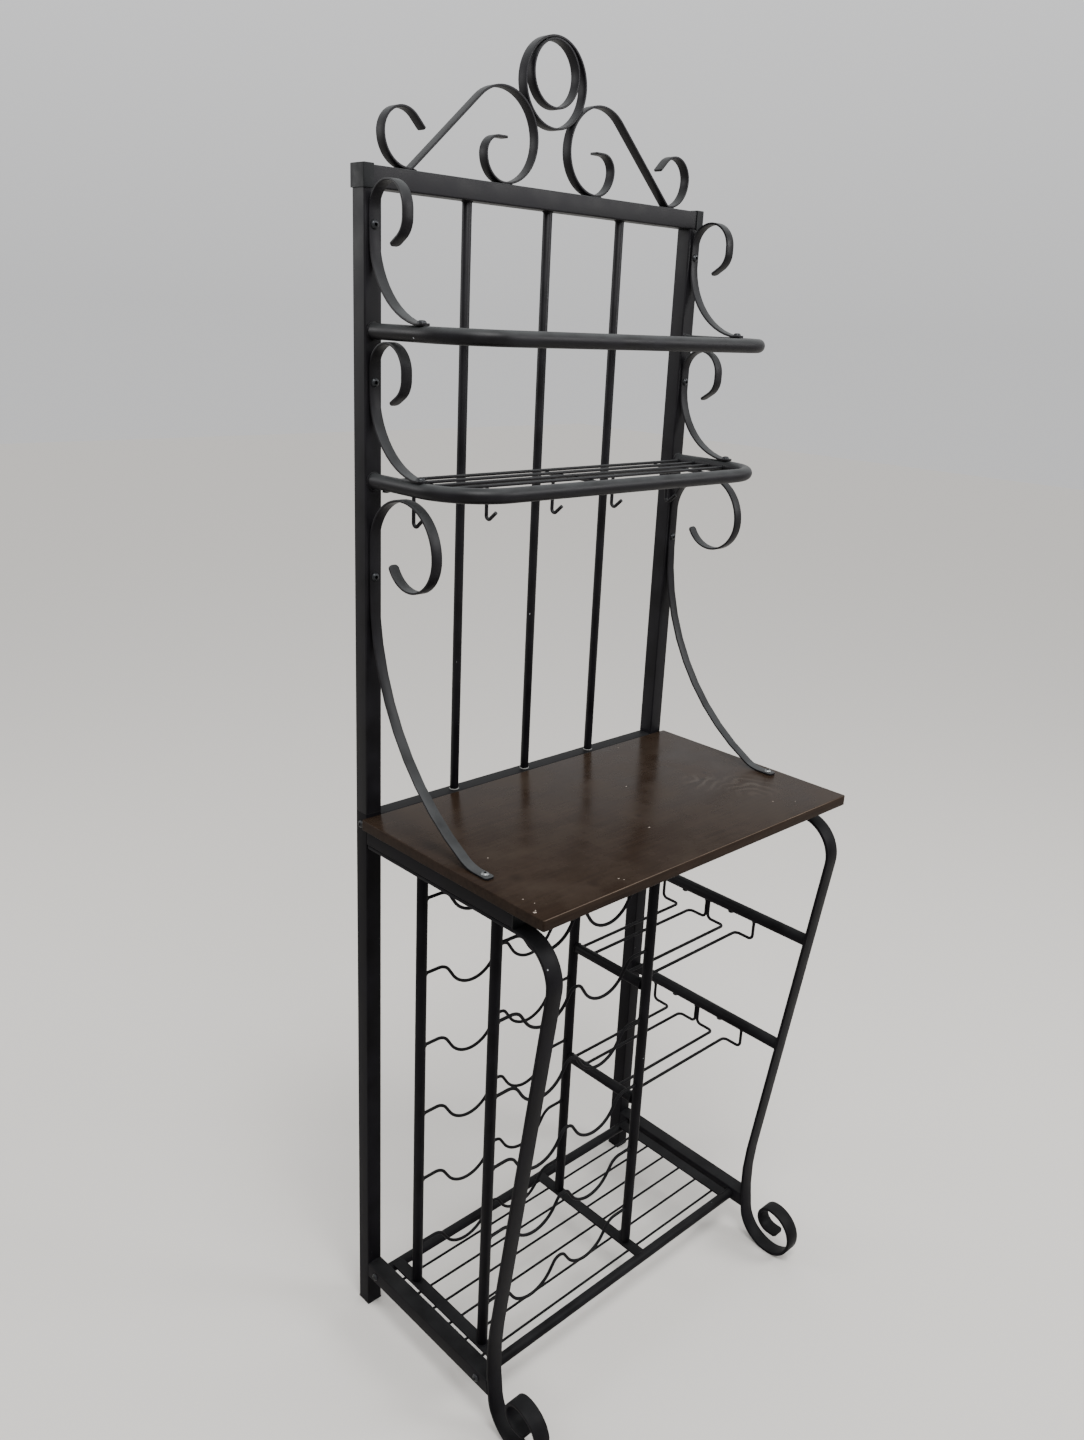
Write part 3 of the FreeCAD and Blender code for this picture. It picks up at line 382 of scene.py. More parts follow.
FINISH_OF_SLOT = {
    "powder_coated_steel": steel,
    "black_screws": black_oxide,
    "bright_screws": bright_zinc,
    "plated_inserts": yellow_zinc,
    "black_plastic": black_plastic,
    "worktop_laminate": film,
}
SLOT_OF_NODE = {part["node"]: part["material_slot"] for part in frame["record"]["subparts"]}
for node, thing in frame["nodes"].items():
    thing.data.materials.clear()
    thing.data.materials.append(FINISH_OF_SLOT[SLOT_OF_NODE[node]])
print("finishes for the slots:", sorted(FINISH_OF_SLOT))

# %% [markdown]
# ## Stock
#
# A maker starts from stock: square tube, round bar, flat strip. Each function here turns a length of
# stock into a mesh in millimetres. A straight piece is a box or cone whose edges are bevelled,
# because drawn and rolled steel has no sharp corners.

# %% Straight stock


def block(box):
    """A new bmesh with one box in it."""
    bm = bmesh.new()
    bmesh.ops.create_cube(bm, size=1, matrix=at(box.middle) @ Matrix.Diagonal((*box.size, 1)))
    return bm


def bevelled(bm, edges, radius, segments):
    """Rounds some edges."""
    bmesh.ops.bevel(
        bm, geom=list(edges), offset=radius, segments=segments, profile=0.5, affect="EDGES", material=-1)


def stock(bm):
    """The finished mesh of a bmesh, faces outwards."""
    bmesh.ops.recalc_face_normals(bm, faces=bm.faces)
    mesh = bpy.data.meshes.new("stock")
    bm.to_mesh(mesh)
    bm.free()
    return mesh


def square_bar(box, corner, segments=3, end=0.3):
    """Square or flat bar that fills a box, rounded along its length and just eased at its ends."""
    bm = block(box)
    long_axis = max(range(3), key=lambda axis: box.size[axis])
    along = [e for e in bm.edges if abs((e.verts[0].co - e.verts[1].co)[long_axis]) > 1]
    bevelled(bm, along, corner, segments)
    middle, half = box.middle[long_axis], box.size[long_axis] / 2
    ends = [
        e for e in bm.edges
        if all(abs(abs(vert.co[long_axis] - middle) - half) < 1e-3 for vert in e.verts)
    ]
    bevelled(bm, ends, end, 1)
    return stock(bm)


def round_bar(box, segments=24, end=0.5):
    """Round bar that fills a box."""
    bm = bmesh.new()
    long_axis = max(range(3), key=lambda axis: box.size[axis])
    radius = min(box.size) / 2
    turn = (X, Y, Z)[long_axis].to_track_quat("Z", "Y").to_matrix().to_4x4()
    bmesh.ops.create_cone(
        bm, cap_ends=True, segments=segments, radius1=radius, radius2=radius, depth=box.size[long_axis],
        matrix=at(box.middle) @ turn)
    rims = [e for e in bm.edges if any(len(face.verts) == segments for face in e.link_faces)]
    bevelled(bm, rims, end, 2)
    return stock(bm)


print("top rail, as stock:", [round(side, 1) for side in node_box("top_rail").size])

# %% [markdown]
# A bent piece could be a curve with a bevel, but a curve pinches on tight bends. Here it starts as the
# face of its own section. It grows by an extrusion for each straight run and a spin for each bend,
# exactly as a bender feeds and turns the bar. The face it leaves behind is taken along, so the skin
# stays closed. A strip with rounded ends grows in short runs that widen along a quarter circle.

# %% Bent stock
TURN_STEP_DEG = 6
END_STEPS = 5


def round_section(diameter, segments=14):
    """Draws the section of a round wire or tube."""
    def draw(bm):
        turned = Matrix.Rotation(math.pi / 2, 4, "Y")
        bmesh.ops.create_circle(bm, cap_ends=True, segments=segments, radius=diameter / 2, matrix=turned)
        return bm.faces[:][-1]
    return draw


def flat_section(thick, width, edge=0.7):
    """Draws the section of a flat strip with eased edges."""
    def draw(bm):
        turned = Matrix.Rotation(math.pi / 2, 4, "Y")
        shape = Matrix.Diagonal((width / 2, thick / 2, 1, 1))
        made = bmesh.ops.create_grid(bm, x_segments=1, y_segments=1, size=1, matrix=turned @ shape)
        bmesh.ops.bevel(
            bm, geom=made["verts"], offset=edge, segments=2, profile=0.5, affect="VERTICES", material=-1)
        return bm.faces[:][-1]
    return draw


def stock_length(steps):
    """The length of straight stock that a list of bends uses up."""
    return sum(size if kind == "run" else size * math.radians(*angle) for kind, size, *angle in steps)


def bend_bar(section, steps, end_radius=0):
    """Bent bar from its own origin, along +X with +Y on its left. Rounds both ends if end_radius is set."""
    bm = bmesh.new()
    face = section(bm)
    here = Vector()
    heading, left, normal = X.copy(), Y.copy(), Z.copy()
    half = max(abs(vert.co.z) for vert in face.verts)

    def extrude(face, length, across=1.0):
        grown = bmesh.ops.extrude_face_region(bm, geom=[face, *face.edges])["geom"]
        face = next(part for part in grown if isinstance(part, bmesh.types.BMFace))
        bmesh.ops.translate(bm, verts=face.verts, vec=heading * length)
        centre = here + heading * length
        scale(face, centre, across)
        return face, centre

    def scale(face, centre, across):
        widen = at(centre) @ Matrix.Scale(across, 4, normal) @ at(-centre)
        bmesh.ops.transform(bm, matrix=widen, verts=face.verts)

    quarter = [math.radians(90 * step / END_STEPS) for step in range(END_STEPS + 1)]
    rounding = [
        (end_radius * (1 - math.cos(angle)), half - end_radius * (1 - math.sin(angle))) for angle in quarter
    ]
    spans = list(zip(rounding, rounding[1:]))
    if end_radius:
        scale(face, here, rounding[0][1] / half)
        for (reach, width), (next_reach, next_width) in spans:
            face, here = extrude(face, next_reach - reach, next_width / width)
    last = len(steps) - 1
    for index, (kind, size, *angle) in enumerate(steps):
        if kind == "run":
            trimmed = end_radius * ((index == 0) + (index == last))
            face, here = extrude(face, size - trimmed)
            continue
        toward = {"left": left, "right": -left, "up": normal, "down": -normal}[kind]
        axis = heading.cross(toward)
        centre = here + toward * size
        radians = math.radians(angle[0])
        made = bmesh.ops.spin(
            bm, geom=[face, *face.edges, *face.verts], cent=centre, axis=axis, angle=radians,
            steps=max(3, round(angle[0] / TURN_STEP_DEG)), use_duplicate=False)
        face = next(part for part in made["geom_last"] if isinstance(part, bmesh.types.BMFace))
        turn = Matrix.Rotation(radians, 3, axis)
        here = centre + turn @ (here - centre)
        heading, left, normal = (turn @ direction for direction in (heading, left, normal))
    if end_radius:
        if steps[last][0] != "run":
            raise ValueError("a rounded end needs a run before it")
        for (next_reach, next_width), (reach, width) in reversed(spans):
            face, here = extrude(face, reach - next_reach, next_width / width)
    return stock(bm)


print("a quarter turn has", round(90 / TURN_STEP_DEG), "steps")

# %% [markdown]
# Welding leaves a bead where two bars meet. Bump in a material would not change the outline, so the
# bead is real: a thin ring of small section, spun round the joint and pushed about by noise, because
# no welder lays a perfect ring. Each bead has a seed of its own, so no two are alike. Blender takes
# the start of its noise vectors from the clock, so that is set too, and every run gives the same dents.

# %% Weld beads
NOISE_SEED = 4
noise.seed_set(NOISE_SEED)


def bead(radius, thick, seed=0.0):
    """A lumpy ring round its own +Z."""
    bm = bmesh.new()
    upright = Matrix.Rotation(math.pi / 2, 4, "X")
    bmesh.ops.create_circle(bm, segments=8, radius=thick, matrix=at(X * radius) @ upright)
    bmesh.ops.spin(
        bm, geom=bm.verts[:] + bm.edges[:], cent=(0, 0, 0), axis=Z, angle=math.tau,
        steps=max(20, round(radius * 2)), use_merge=True, use_duplicate=False)
    for vert in bm.verts:
        shift = noise.noise_vector(vert.co * 0.35 + Vector((seed, 0, 0)))
        vert.co += shift * thick * 0.45
    return stock(bm)


def facing(place, axis):
    """A place whose own +Z points along an axis."""
    return at(place) @ axis.to_track_quat("Z", "Y").to_matrix().to_4x4()


print("joints to ring on the top shelf:", 2 * len(solids("top_shelf_wires")))

# %% [markdown]
# Every piece goes through one function. It gathers lengths of stock at their places, turns them into
# metres, shades the curved faces smooth and the hard corners sharp, hides the plain piece that it
# stands for, and lets it ride on the rack's one body. Steel that lies wholly below the worktop gets
# the darker coat, which is painted shade. The lower posts rise a little past the board, so the limit does
# too.

# %% Finish a piece
SHARP_DEG = 35
PAINTED_SHADE_BELOW = node_box("worktop").high.z + 20
made_pieces = []


def piece(name, parts, nodes=(), finish=None, slot="powder_coated_steel"):
    """One object from (mesh, place) pairs."""
    bm = bmesh.new()
    for mesh, place in parts:
        before = len(bm.verts)
        bm.from_mesh(mesh)
        bmesh.ops.transform(bm, matrix=place, verts=bm.verts[before:])
    bmesh.ops.scale(bm, vec=(MM, MM, MM), verts=bm.verts)
    bmesh.ops.recalc_face_normals(bm, faces=bm.faces)
    mesh = bpy.data.meshes.new(name)
    bm.to_mesh(mesh)
    bm.free()
    mesh.shade_smooth()
    mesh.set_sharp_from_angle(angle=math.radians(SHARP_DEG))
    # Steel wholly below this height gets the darker coat, which is painted shade.
    shaded = max(vert.co.z for vert in mesh.vertices) < PAINTED_SHADE_BELOW * MM
    if slot == "powder_coated_steel" and shaded and finish is None:
        finish = steel_with_painted_shade
    mesh.materials.append(finish or FINISH_OF_SLOT[slot])
    thing = bpy.data.objects.new(name, mesh)
    bpy.context.scene.collection.objects.link(thing)
    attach(thing, "root")
    for node in nodes:
        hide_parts(node)
    made_pieces.append(thing)
    return thing


HOME = Matrix.Identity(4)
print("sheltered coat below:", round(PAINTED_SHADE_BELOW), "mm")

# %% [markdown]
# ## Back frame
#
# Two posts stand at the back. Each is split just above the worktop, where the rack comes apart for
# its box, and a sleeve inside joins the halves. The tube is rolled and seam welded, so its corners
# have a radius of about its wall and a half. The seam between the halves shows as a fine line.

# %% Posts and rails
TUBE_CORNER = 2.0

for node in (
    "lower_post_left", "lower_post_right", "upper_post_left", "upper_post_right",
    "top_rail", "rear_worktop_rail",
):
    piece(node + "_tube", [(square_bar(node_box(node), TUBE_CORNER), HOME)], [node])

bars = solids("back_bars")
piece("back_bars_tube", [(round_bar(bar, 32), HOME) for bar in bars], ["back_bars"])

for node in ("worktop_rail_left", "worktop_rail_right"):
    piece(node + "_tube", [(square_bar(node_box(node), TUBE_CORNER), HOME)], [node])
print("posts and rails:", len(made_pieces))

# %% [markdown]
# The top corners wear a folded black cap. It is a thin shell, open below and towards the middle, so
# it is made from a box with those two faces taken out, rounded, and then given its wall.

# %% Corner caps
CAP_WALL = 1.4
CAP_CORNER = 1.2


def corner_cap(box, side):
    """A folded cap. side is 1 at the right end of the rail and -1 at the left."""
    bm = block(box)
    bm.normal_update()
    opened = [face for face in bm.faces if face.normal.z < -0.5 or face.normal.x * side < -0.5]
    bmesh.ops.delete(bm, geom=opened, context="FACES")
    folds = [edge for edge in bm.edges if len(edge.link_faces) == 2]
    bevelled(bm, folds, CAP_CORNER, 3)
    bmesh.ops.recalc_face_normals(bm, faces=bm.faces)
    outwards = sum((face.normal.dot(face.calc_center_median() - box.middle) for face in bm.faces))
    if outwards < 0:
        bmesh.ops.reverse_faces(bm, faces=bm.faces)
    bmesh.ops.solidify(bm, geom=bm.faces[:], thickness=CAP_WALL)
    return stock(bm)


caps = solids("top_rail_caps")
piece(
    "top_rail_caps_shell",
    [(corner_cap(cap, math.copysign(1, cap.middle.x)), HOME) for cap in caps],
    ["top_rail_caps"], slot="black_plastic")
print("corner caps:", len(caps))

# %% [markdown]
# ## Brackets and crest
#
# Every scroll is flat strip, bent cold round formers of a few radii. The lists below are the bender's
# own notes: runs, and turns with their middle radius and angle. The start of each strip is read from
# the model, so the strip lies in the space of the piece that it stands for.

# %% Scroll brackets
STRIP_THICK = 3.0
STRIP_WIDTH = 15.0
BRACKET_END = 5.0
strip = flat_section(STRIP_THICK, STRIP_WIDTH)

SMALL_BRACKET = [
    ("run", 14), ("left", 13.5, 10), ("left", 103.5, 80), ("run", 20),
    ("left", 32.5, 180), ("run", 7.5), ("left", 25, 58), ("run", 17),
]
LARGE_BRACKET = [
    ("run", 24), ("left", 57.5, 27), ("left", 355.5, 63), ("run", 52.3),
    ("left", 63.8, 180), ("run", 0.5), ("left", 46, 149.7), ("run", 5.05),
]
for name, bends in (
    ("top_bracket", SMALL_BRACKET), ("middle_bracket", SMALL_BRACKET), ("worktop_bracket", LARGE_BRACKET),
):
    for side in ("left", "right"):
        node = f"{name}_{side}"
        box = node_box(node)
        start = Vector((box.middle.x, box.low.y, box.low.z + STRIP_THICK / 2))
        shaped = bend_bar(strip, bends, BRACKET_END)
        piece(node + "_strip", [(shaped, lying(start, Y, Z))], [node])
for name, bends in (("small", SMALL_BRACKET), ("large", LARGE_BRACKET)):
    print("strip for a", name, "bracket:", round(stock_length(bends)), "mm")

# %% [markdown]
# The crest is two mirrored scrolls with two rings between them. A scroll starts at its curled tip,
# sweeps through a belly that rests on the rail, arches up against the outer ring, and runs down a
# straight slope to the rail again. The slope's length is worked out from the arcs, so that both feet
# stand on the rail. A ring is the outline of the strip's section, spun once round.

# %% Crest scrolls and rings
CREST_END = 2.0
CREST_TIP = 14.0
CREST_CURL = 20.5
CREST_TURN = 32.5
CREST_BELLY = 52.5
CREST_ARCH = 57.5
CREST_SLOPE = 42.0
CREST_FOOT = 8.0
CREST_CURL_BACK = 37.5
CREST_LAST_CURL = 28.5
CREST_LAST_RUN = 17

slope = math.radians(CREST_SLOPE)
slope_run = (
    CREST_BELLY + CREST_ARCH * math.cos(slope) - CREST_FOOT * (1 - math.cos(slope))
) / math.sin(slope)
CREST_BENDS = [
    ("run", CREST_TIP), ("left", CREST_CURL, 90), ("left", CREST_TURN, 90), ("left", CREST_BELLY, 90),
    ("left", CREST_ARCH, 90 + CREST_SLOPE), ("run", slope_run), ("right", CREST_FOOT, CREST_SLOPE),
    ("right", CREST_CURL_BACK, 90), ("right", CREST_LAST_CURL, 135), ("run", CREST_LAST_RUN),
]
scroll = bend_bar(strip, CREST_BENDS, CREST_END)
belly_x = {}
for side, sign in (("left", -1), ("right", 1)):
    node = "crest_scroll_" + side
    box = node_box(node)
    inner = box.low.x if sign > 0 else box.high.x
    belly_x[side] = inner + sign * (CREST_BELLY + STRIP_THICK / 2)
    start = Vector((
        belly_x[side] + sign * (CREST_TURN - CREST_CURL - CREST_TIP),
        box.middle.y,
        box.low.z + STRIP_THICK / 2 + CREST_CURL + CREST_TURN,
    ))
    piece(node + "_strip", [(scroll, lying(start, X * sign, -Z))], [node])


def strip_ring(box, steps=96):
    """A ring of strip: the outline of the section spun once round, without its face."""
    bm = bmesh.new()
    face = strip(bm)
    bmesh.ops.delete(bm, geom=[face], context="FACES_ONLY")
    radius = (box.size.x - STRIP_THICK) / 2
    bmesh.ops.translate(bm, verts=bm.verts, vec=-Y * radius)
    bmesh.ops.spin(
        bm, geom=bm.verts[:] + bm.edges[:], cent=(0, 0, 0), axis=Z, angle=math.tau,
        steps=steps, use_merge=True, use_duplicate=False)
    return stock(bm)


for node in ("crest_outer_ring", "crest_inner_ring"):
    box = node_box(node)
    piece(node + "_strip", [(strip_ring(box), lying(box.middle, X, Z))], [node])
print("strip for a crest scroll:", round(stock_length(CREST_BENDS)), "mm")

# %% [markdown]
# ## Shelves
#
# Each shelf is one round tube bent into a hoop, with straight wires welded between its arms and three
# cross bars under them. The hoop is one bend list of two arms, two corners and a front. The lengths
# of its runs come from its box, less the corners.

# %% Hoops
HOOP_CORNER = 76.0

for name in ("top_shelf", "middle_shelf"):
    box = node_box(name + "_hoop")
    diameter = box.size.z
    arm = box.size.y - diameter / 2 - HOOP_CORNER
    front = box.size.x - diameter - 2 * HOOP_CORNER
    bends = [
        ("run", arm), ("left", HOOP_CORNER, 90), ("run", front), ("left", HOOP_CORNER, 90), ("run", arm),
    ]
    start = Vector((box.low.x + diameter / 2, box.high.y, box.middle.z))
    hoop = bend_bar(round_section(diameter, 32), bends)
    piece(name + "_hoop_tube", [(hoop, lying(start, -Y, X))], [name + "_hoop"])
    print("tube for", name, ":", round(stock_length(bends)), "mm")

# %% [markdown]
# The straight wires and bars are many and alike. Each fills its own box in the model, so one loop
# redraws them all. A thin wire shows fewer sides than a thick tube, so it gets fewer.

# %% Every straight wire and round bar
THIN_WIRE = 8
WIRE_NODES = [
    "top_shelf_wires", "top_shelf_cross_bars", "middle_shelf_wires", "middle_shelf_cross_bars", "hook_rod",
    "bottom_shelf_wires", "bottom_rear_tube", "bottom_front_tube", "rack_uprights", "glass_side_tubes",
    "glass_cross_bars",
]
for node in WIRE_NODES:
    boxes = solids(node)
    segments = 16 if min(boxes[0].size) < THIN_WIRE else 32
    piece(node + "_bar", [(round_bar(box, segments), HOME) for box in boxes], [node])
    print(node, ":", len(boxes))

# %% [markdown]
# The flat bars of the bottom shelf and of the wine rack's top are plain strip, sheared to length, so
# they are square bars with smaller eased edges.

# %% Flat bars
STRIP_EASE = 0.7

for node in ("bottom_flat_bars", "rack_top_bars"):
    piece(node + "_strip", [(square_bar(box, STRIP_EASE, 2), HOME) for box in solids(node)], [node])
    print(node, ":", len(solids(node)))

# %% [markdown]
# The hooks are short wires with one bend. They hang from the rod below the middle shelf.

# %% Hooks
HOOK_SHANK = 41.0
HOOK_BEND = 5
HOOK_TIP = 15
HOOK_BENDS = [("run", HOOK_SHANK), ("right", HOOK_BEND, 130), ("run", HOOK_TIP)]
hooks = solids("shelf_hooks")
hook_wire = hooks[0].size.x
hook = bend_bar(round_section(hook_wire, 16), HOOK_BENDS)
hook_parts = []
for box in hooks:
    start = Vector((box.middle.x, box.high.y - hook_wire / 2, box.high.z))
    hook_parts.append((hook, lying(start, -Z, Y)))
piece("shelf_hooks_wire", hook_parts, ["shelf_hooks"])
print("hooks:", len(hooks))

# %% [markdown]
# ## Legs
#
# Each front leg is one flat bar. It runs forward under the worktop, turns down at the knee, leans
# back to the shin, kicks out to the foot and rolls up into a scroll. Its two straight runs are worked
# out from the height and reach of the piece in the model, so that the heel stands on the floor.

# %% Front legs
LEG_THICK = 5.0
KNEE_RADIUS = 55.5
KNEE_LEAN = 7.54
SHIN_RADIUS = 415.5
SHIN_SPLAY = 10.0
HEEL_RADIUS = 57.5
TOE_RADIUS = 41.5
SCROLL_RADIUS = 21.5
SCROLL_TIP = 14
LEG_END = 5.0
LEG_EASE = 1.0

for side in ("left", "right"):
    node = "front_leg_" + side
    box = node_box(node)
    lean = math.radians(KNEE_LEAN)
    splay = math.radians(SHIN_SPLAY)
    foot_reach = box.size.y - TOE_RADIUS - LEG_THICK / 2
    drop = box.size.z - LEG_THICK
    shin_run = (
        drop - KNEE_RADIUS * (1 + math.sin(lean)) - SHIN_RADIUS * (math.sin(splay) + math.sin(lean))
        - HEEL_RADIUS * (1 - math.sin(splay))
    ) / math.cos(lean)
    knee_reach = (
        foot_reach - KNEE_RADIUS * math.cos(lean) + shin_run * math.sin(lean)
        - SHIN_RADIUS * (math.cos(lean) - math.cos(splay)) - HEEL_RADIUS * math.cos(splay)
    )
    bends = [
        ("run", knee_reach), ("left", KNEE_RADIUS, 90 + KNEE_LEAN), ("run", shin_run),
        ("right", SHIN_RADIUS, KNEE_LEAN + SHIN_SPLAY), ("right", HEEL_RADIUS, 90 - SHIN_SPLAY),
        ("right", TOE_RADIUS, 180), ("right", SCROLL_RADIUS, 180), ("run", SCROLL_TIP),
    ]
    leg = bend_bar(flat_section(LEG_THICK, box.size.x, LEG_EASE), bends, LEG_END)
    start = Vector((box.middle.x, box.high.y, box.high.z - LEG_THICK / 2))
    piece(node + "_bar", [(leg, lying(start, -Y, -Z))], [node])
print("bar for a leg:", round(stock_length(bends)), "mm")

# %% [markdown]
# ## Wine rack
#
# A bottle lies in two waves of wire, one behind the other. A wave is two dips and the crest between
# them, bent round formers of three radii. Each arc turns by the same angle, and a short straight
# slope joins it to the next, so the wire never has a corner. Two arcs of radii R and r with a slope
# L between them reach (R + r) sin angle + L cos angle along the wire, which leaves the shoulders.

# %% Bottle rests
DIP_RADIUS = 46.0
DIP_ANGLE = 57.0
SLOPE_RUN = 13.4
CREST_BEND = 14.3
SHOULDER_BEND = 23.0

rest_levels = sorted(node for node in frame["nodes"] if node.startswith("bottle_rest_"))
rest_box = solids(rest_levels[0])[0]
rest_wire = rest_box.size.y
angle = math.radians(DIP_ANGLE)
shoulder = (
    rest_box.size.x / 2 - 2 * SLOPE_RUN * math.cos(angle)
    - (2 * DIP_RADIUS + CREST_BEND + SHOULDER_BEND) * math.sin(angle)
)
slope_step = ("run", SLOPE_RUN)
dip_step = ("left", DIP_RADIUS, 2 * DIP_ANGLE)
WAVE_BENDS = [
    ("run", shoulder), ("right", SHOULDER_BEND, DIP_ANGLE), slope_step, dip_step, slope_step,
    ("right", CREST_BEND, 2 * DIP_ANGLE), slope_step, dip_step, slope_step,
    ("right", SHOULDER_BEND, DIP_ANGLE), ("run", shoulder),
]
wave = bend_bar(round_section(rest_wire, 16), WAVE_BENDS)
for node in rest_levels:
    parts = []
    for box in solids(node):
        start = Vector((box.low.x, box.middle.y, box.high.z - rest_wire / 2))
        parts.append((wave, lying(start, X, Z)))
    piece(node + "_wire", parts, [node])
print("wire for a bottle rest:", round(stock_length(WAVE_BENDS)), "mm")

# %% [markdown]
# ## Glass rack
#
# Stemmed glasses hang upside down with their feet on a pair of wires. Each wire drops from the side
# tube, steps sideways towards its slot, and runs across to the divider. The wires of a slot mirror
# each other, so the list of bends is the same for both but for the side that they turn to. The start
# and end of each wire are kept, because the welds need them later.

# %% Hangers
HANGER_WIRE = 5.0
HANGER_BEND = 8.0
hanger_wires = {}

for tier in ("upper", "lower"):
    node = "glass_hangers_" + tier
    parts = []
    hanger_wires[tier] = []
    wires = sorted(solids(node), key=lambda box: box.middle.y)
    for index, box in enumerate(wires):
        front_one = index % 2 == 0
        back = Y if front_one else -Y
        kink = "down" if front_one else "up"
        leg_y = (box.low.y if front_one else box.high.y) + back.y * HANGER_WIRE / 2
        slot_y = (box.high.y if front_one else box.low.y) - back.y * HANGER_WIRE / 2
        bends = [
            ("run", box.size.z - HANGER_WIRE / 2 - HANGER_BEND),
            ("left", HANGER_BEND, 90),
            ("run", box.size.y - HANGER_WIRE - 2 * HANGER_BEND),
            (kink, HANGER_BEND, 90),
            ("run", box.size.x - HANGER_WIRE / 2 - HANGER_BEND),
        ]
        start = Vector((box.high.x - HANGER_WIRE / 2, leg_y, box.high.z))
        end = Vector((box.low.x, slot_y, box.low.z + HANGER_WIRE / 2))
        parts.append((bend_bar(round_section(HANGER_WIRE, 16), bends), lying(start, -Z, back)))
        hanger_wires[tier].append((start, end))
    piece(node + "_wire", parts, [node])
    print(tier, "hangers:", len(parts))

# %% [markdown]
# ## Bottom shelf rails
#
# The side rails end against the curve of the legs, so their front ends are cut at a slant. The rail is
# drawn whole, then sliced by a plane, and the cut is closed with one face.

# %% Bottom rails
RAIL_CUT_DEG = 7.3

for side in ("left", "right"):
    node = "bottom_rail_" + side
    box = node_box(node)
    bm = bmesh.new()
    bm.from_mesh(square_bar(box, TUBE_CORNER))
    cut = math.radians(RAIL_CUT_DEG)
    slant = Vector((0, -math.cos(cut), math.sin(cut)))
    bmesh.ops.bisect_plane(
        bm, geom=bm.verts[:] + bm.edges[:] + bm.faces[:], plane_co=(0, box.low.y + 0.2, box.low.z),
        plane_no=slant, clear_outer=True)
    rim = [edge for edge in bm.edges if edge.is_boundary]
    bmesh.ops.holes_fill(bm, edges=rim)
    piece(node + "_tube", [(stock(bm), HOME)], [node])
    print(node, "closed over", len(rim), "edges")

# %% [markdown]
# ## Worktop
#
# The board's film stops at its edges, which carry a thin band of the same colour. Its edges are eased
# by about a millimetre, and the faces of that easing which look forwards and up are painted pale as a
# painted highlight along the front edge. So the board has three finishes: film on its flat faces, edge
# band on its sides, and the pale film with the painted highlight on the faces of the bevel that look
# forwards and up.

# %% Board
BOARD_CORNER = 3.0
BOARD_EASE = 1.0

bm = block(node_box("worktop"))
uprights = [edge for edge in bm.edges if abs((edge.verts[0].co - edge.verts[1].co).z) > 1]
bevelled(bm, uprights, BOARD_CORNER, 5)
brims = [
    edge for edge in bm.edges
    if abs((edge.verts[0].co - edge.verts[1].co).z) < 1e-3
    and any(abs(face.normal.z) > 0.9 for face in edge.link_faces)
]
bevelled(bm, brims, BOARD_EASE, 3)
board = piece("worktop_board", [(stock(bm), HOME)], ["worktop"], slot="worktop_laminate")
board.data.materials.append(edge_band)
board.data.materials.append(edge_painted_highlight)
for polygon in board.data.polygons:
    upright = abs(polygon.normal.z) < 0.5
    # Bevel faces that look forwards and up get the pale film: a painted highlight along the front edge.
    wiped_and_highlit = polygon.normal.y < -0.2 and 0.5 < polygon.normal.z < 0.98
    polygon.material_index = 1 if upright else 2 if wiped_and_highlit else 0
print("board:", len(board.data.polygons), "faces, with", len(board.data.materials), "finishes")

# %% [markdown]
# ## Screws
#
# A button head is a low dome with a hexagonal socket. The socket starts as a six-sided ring, which
# is divided into twenty-four so that it can be bridged to the round rings of the dome. Only the heads
# show, so only they are drawn, one mesh for all of them.

# %% Button-head screws
SOCKET_WIDTH = 4.0
SOCKET_DEPTH = 2.0
HEAD_RINGS = ((2.9, 3.4), (4.0, 2.85), (4.9, 2.1), (5.4, 1.3), (5.5, 0.9), (5.5, 0.0))


def button_head():
    """A screw head that stands on its own XY plane, with its dome towards +Z."""
    bm = bmesh.new()
    top = HEAD_RINGS[0][1]
    bmesh.ops.create_circle(
        bm, segments=6, radius=SOCKET_WIDTH / 2 / math.cos(math.pi / 6), matrix=at(Z * top))
    bmesh.ops.subdivide_edges(bm, edges=bm.edges[:], cuts=3)
    rim = bm.edges[:]
    floor = bmesh.ops.extrude_edge_only(bm, edges=rim)["geom"]
    floor_verts = [part for part in floor if isinstance(part, bmesh.types.BMVert)]
    bmesh.ops.translate(bm, verts=floor_verts, vec=-Z * SOCKET_DEPTH)
    bmesh.ops.contextual_create(bm, geom=[part for part in floor if isinstance(part, bmesh.types.BMEdge)])
    ring = rim
    for radius, height in HEAD_RINGS:
        made = bmesh.ops.create_circle(bm, segments=24, radius=radius, matrix=at(Z * height))
        next_ring = list({edge for vert in made["verts"] for edge in vert.link_edges})
        bmesh.ops.bridge_loops(bm, edges=ring + next_ring)
        ring = next_ring
    bmesh.ops.contextual_create(bm, geom=ring)
    return stock(bm)


head = button_head()


def screw_heads(name, node, axis=None):
    """Heads on every screw of a node. axis points outwards, or away from the middle if it is None."""
    parts = []
    for box in solids(node):
        outward = axis or X * math.copysign(1, box.middle.x)
        far = Vector(box.high if max(outward) > 0.5 else box.low)
        seat = Vector([far[i] if abs(outward[i]) > 0.5 else box.middle[i] for i in range(3)])
        parts.append((head, facing(seat - outward * HEAD_RINGS[0][1], outward)))
    piece(name, parts, [node], slot=SLOT_OF_NODE[node])
    print(name, ":", len(parts))


